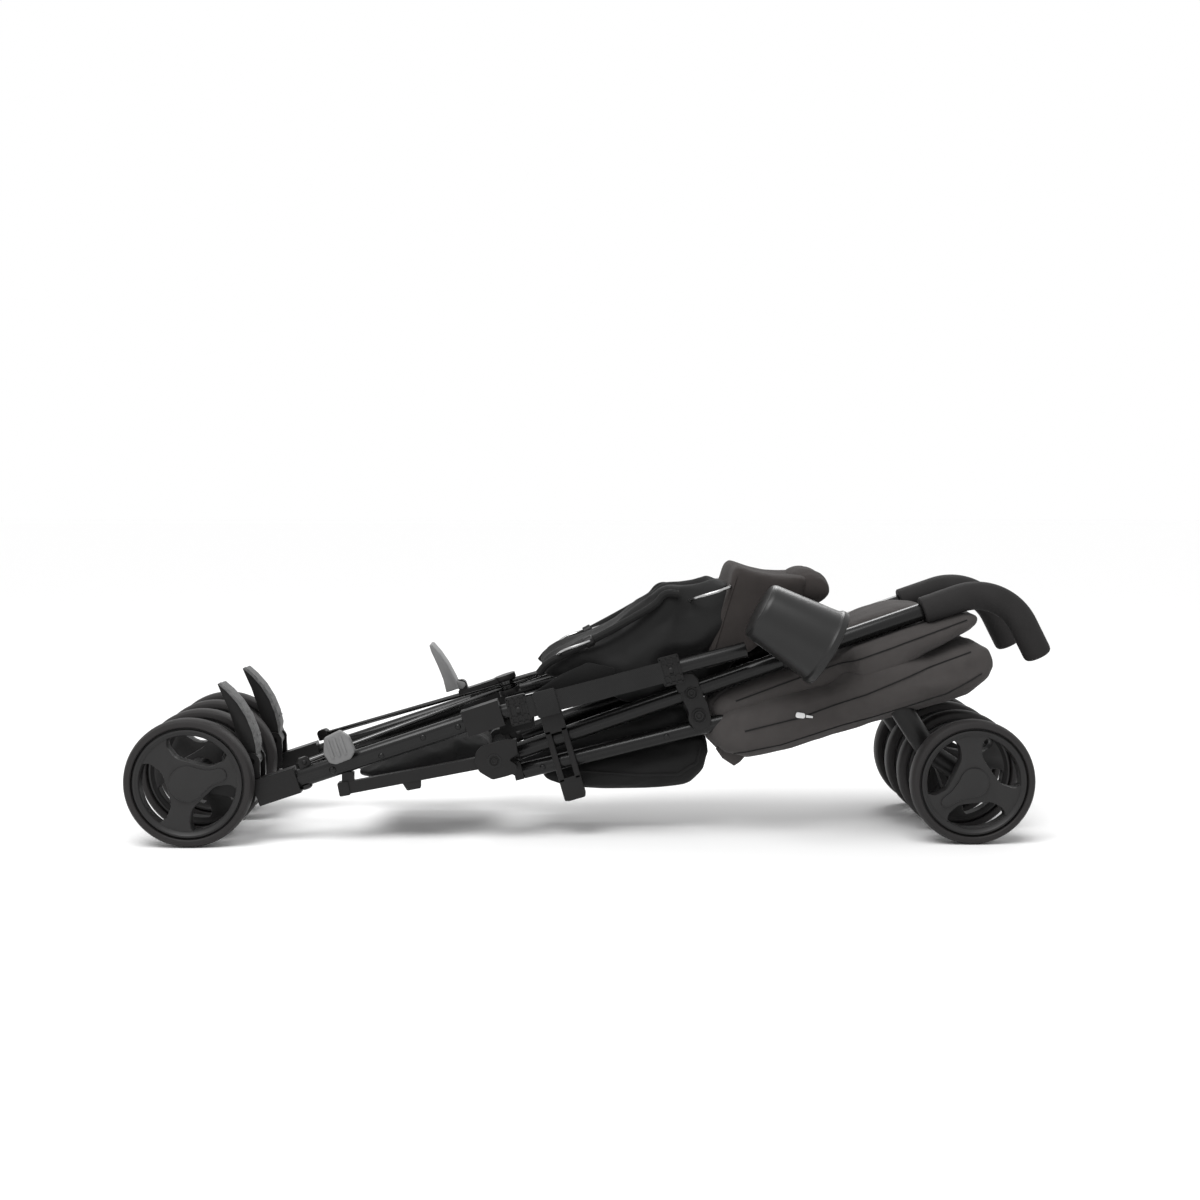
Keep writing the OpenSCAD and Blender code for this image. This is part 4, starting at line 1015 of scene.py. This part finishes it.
def side_bracket(side):
    """The bracket that joins pusher and canopy, with a rounded cap and two ringed bolts."""
    bm = bmesh.new()
    seat = seat_on(PUSHER, BRACKET_S, 0, across(side, 76.4))
    body = [(-9, -45), (4, -46), (12, -38), (14, -18), (12, -6), (12, 12), (-12, 12), (-12, -6), (-10, -20),
            (-14, -30)]
    plate(bm, body, 2.8 * side, seat, corner=3.0, edge=0.7)
    cap = [(-14, 4), (-15, 14), (-10, 22), (0, 25), (9, 22), (13, 13), (12, 4)]
    plate(bm, cap, 4.2 * side, seat, corner=2.0, edge=1.6, edge_segments=3)
    for n, radius in ((0, 7.4), (-28, 8.8)):
        bolt(bm, on(PUSHER, BRACKET_S, n, across(side, 79.2)), side, radius)
    piece(sided("bracket_plate", side), bm, "black_plastic", sided("back", side),
          [sided("side_bracket", side)])


def cross_rod(side):
    """A slim cross rod with an eye at the hub and a clip on the leg."""
    bm = bmesh.new()
    low = 13.0 if side == RIGHT else 18.5
    hub = seat_on(LEG, HUB_S, 0, MID_Y) @ Matrix.Rotation(math.radians(-side * 19.8), 4, "Z")
    rod(bm, hub @ Vector((-258, 0, low + 2.5)), hub @ Vector((100, 0, low + 2.5)), 2.9)
    lathe(bm, [(4.2, 0.0), (9.4, 0.0), (10.0, 0.6), (10.0, 4.4), (9.4, 5.0), (4.2, 5.0)],
          hub @ Matrix.Translation((0, 0, low)), 32, closed=True)
    piece(sided("cross_rod", side), bm, "bar_metal", sided("brace", side), [sided("cross_bar", side)])
    bm = bmesh.new()
    clip = hub @ Matrix.Translation((-260, 0, low + 1.0))
    outline = [(-7, -5), (7, -5), (7, 5), (4, 8), (-4, 8), (-7, 5)]
    plate(bm, outline, 9.0, clip @ Matrix.Translation((0, -4.5, 0)), corner=1.0, edge=0.6)
    rivet(bm, clip @ Vector((0, side * 4.5, 2)), side, 3.0)
    piece(sided("cross_clip", side), bm, "black_plastic", sided("brace", side))


def back_stay(side):
    """A thin wire stay that runs in and out of the seat back's cloth."""
    bm = bmesh.new()
    spots = ((76, 88, 58), (86, 94, 74), (117, 95, 74), (130, 95, 58), (242, 100, 58), (256, 102, 76),
             (290, 101, 76), (300, 101, 60))
    tube_along(bm, [on(PUSHER, s, n, across(side, out)) for s, n, out in spots], 1.7)
    piece(sided("back_stay", side), bm, "bare_steel", sided("back", side))


for side in SIDES:
    hinge_cover(side)
    leg_studs(side)
    brake_pedal(side)
    side_bracket(side)
    cross_rod(side)
    back_stay(side)
lock_lever()
fold_pedal()
carry_strap()
fold_hook()
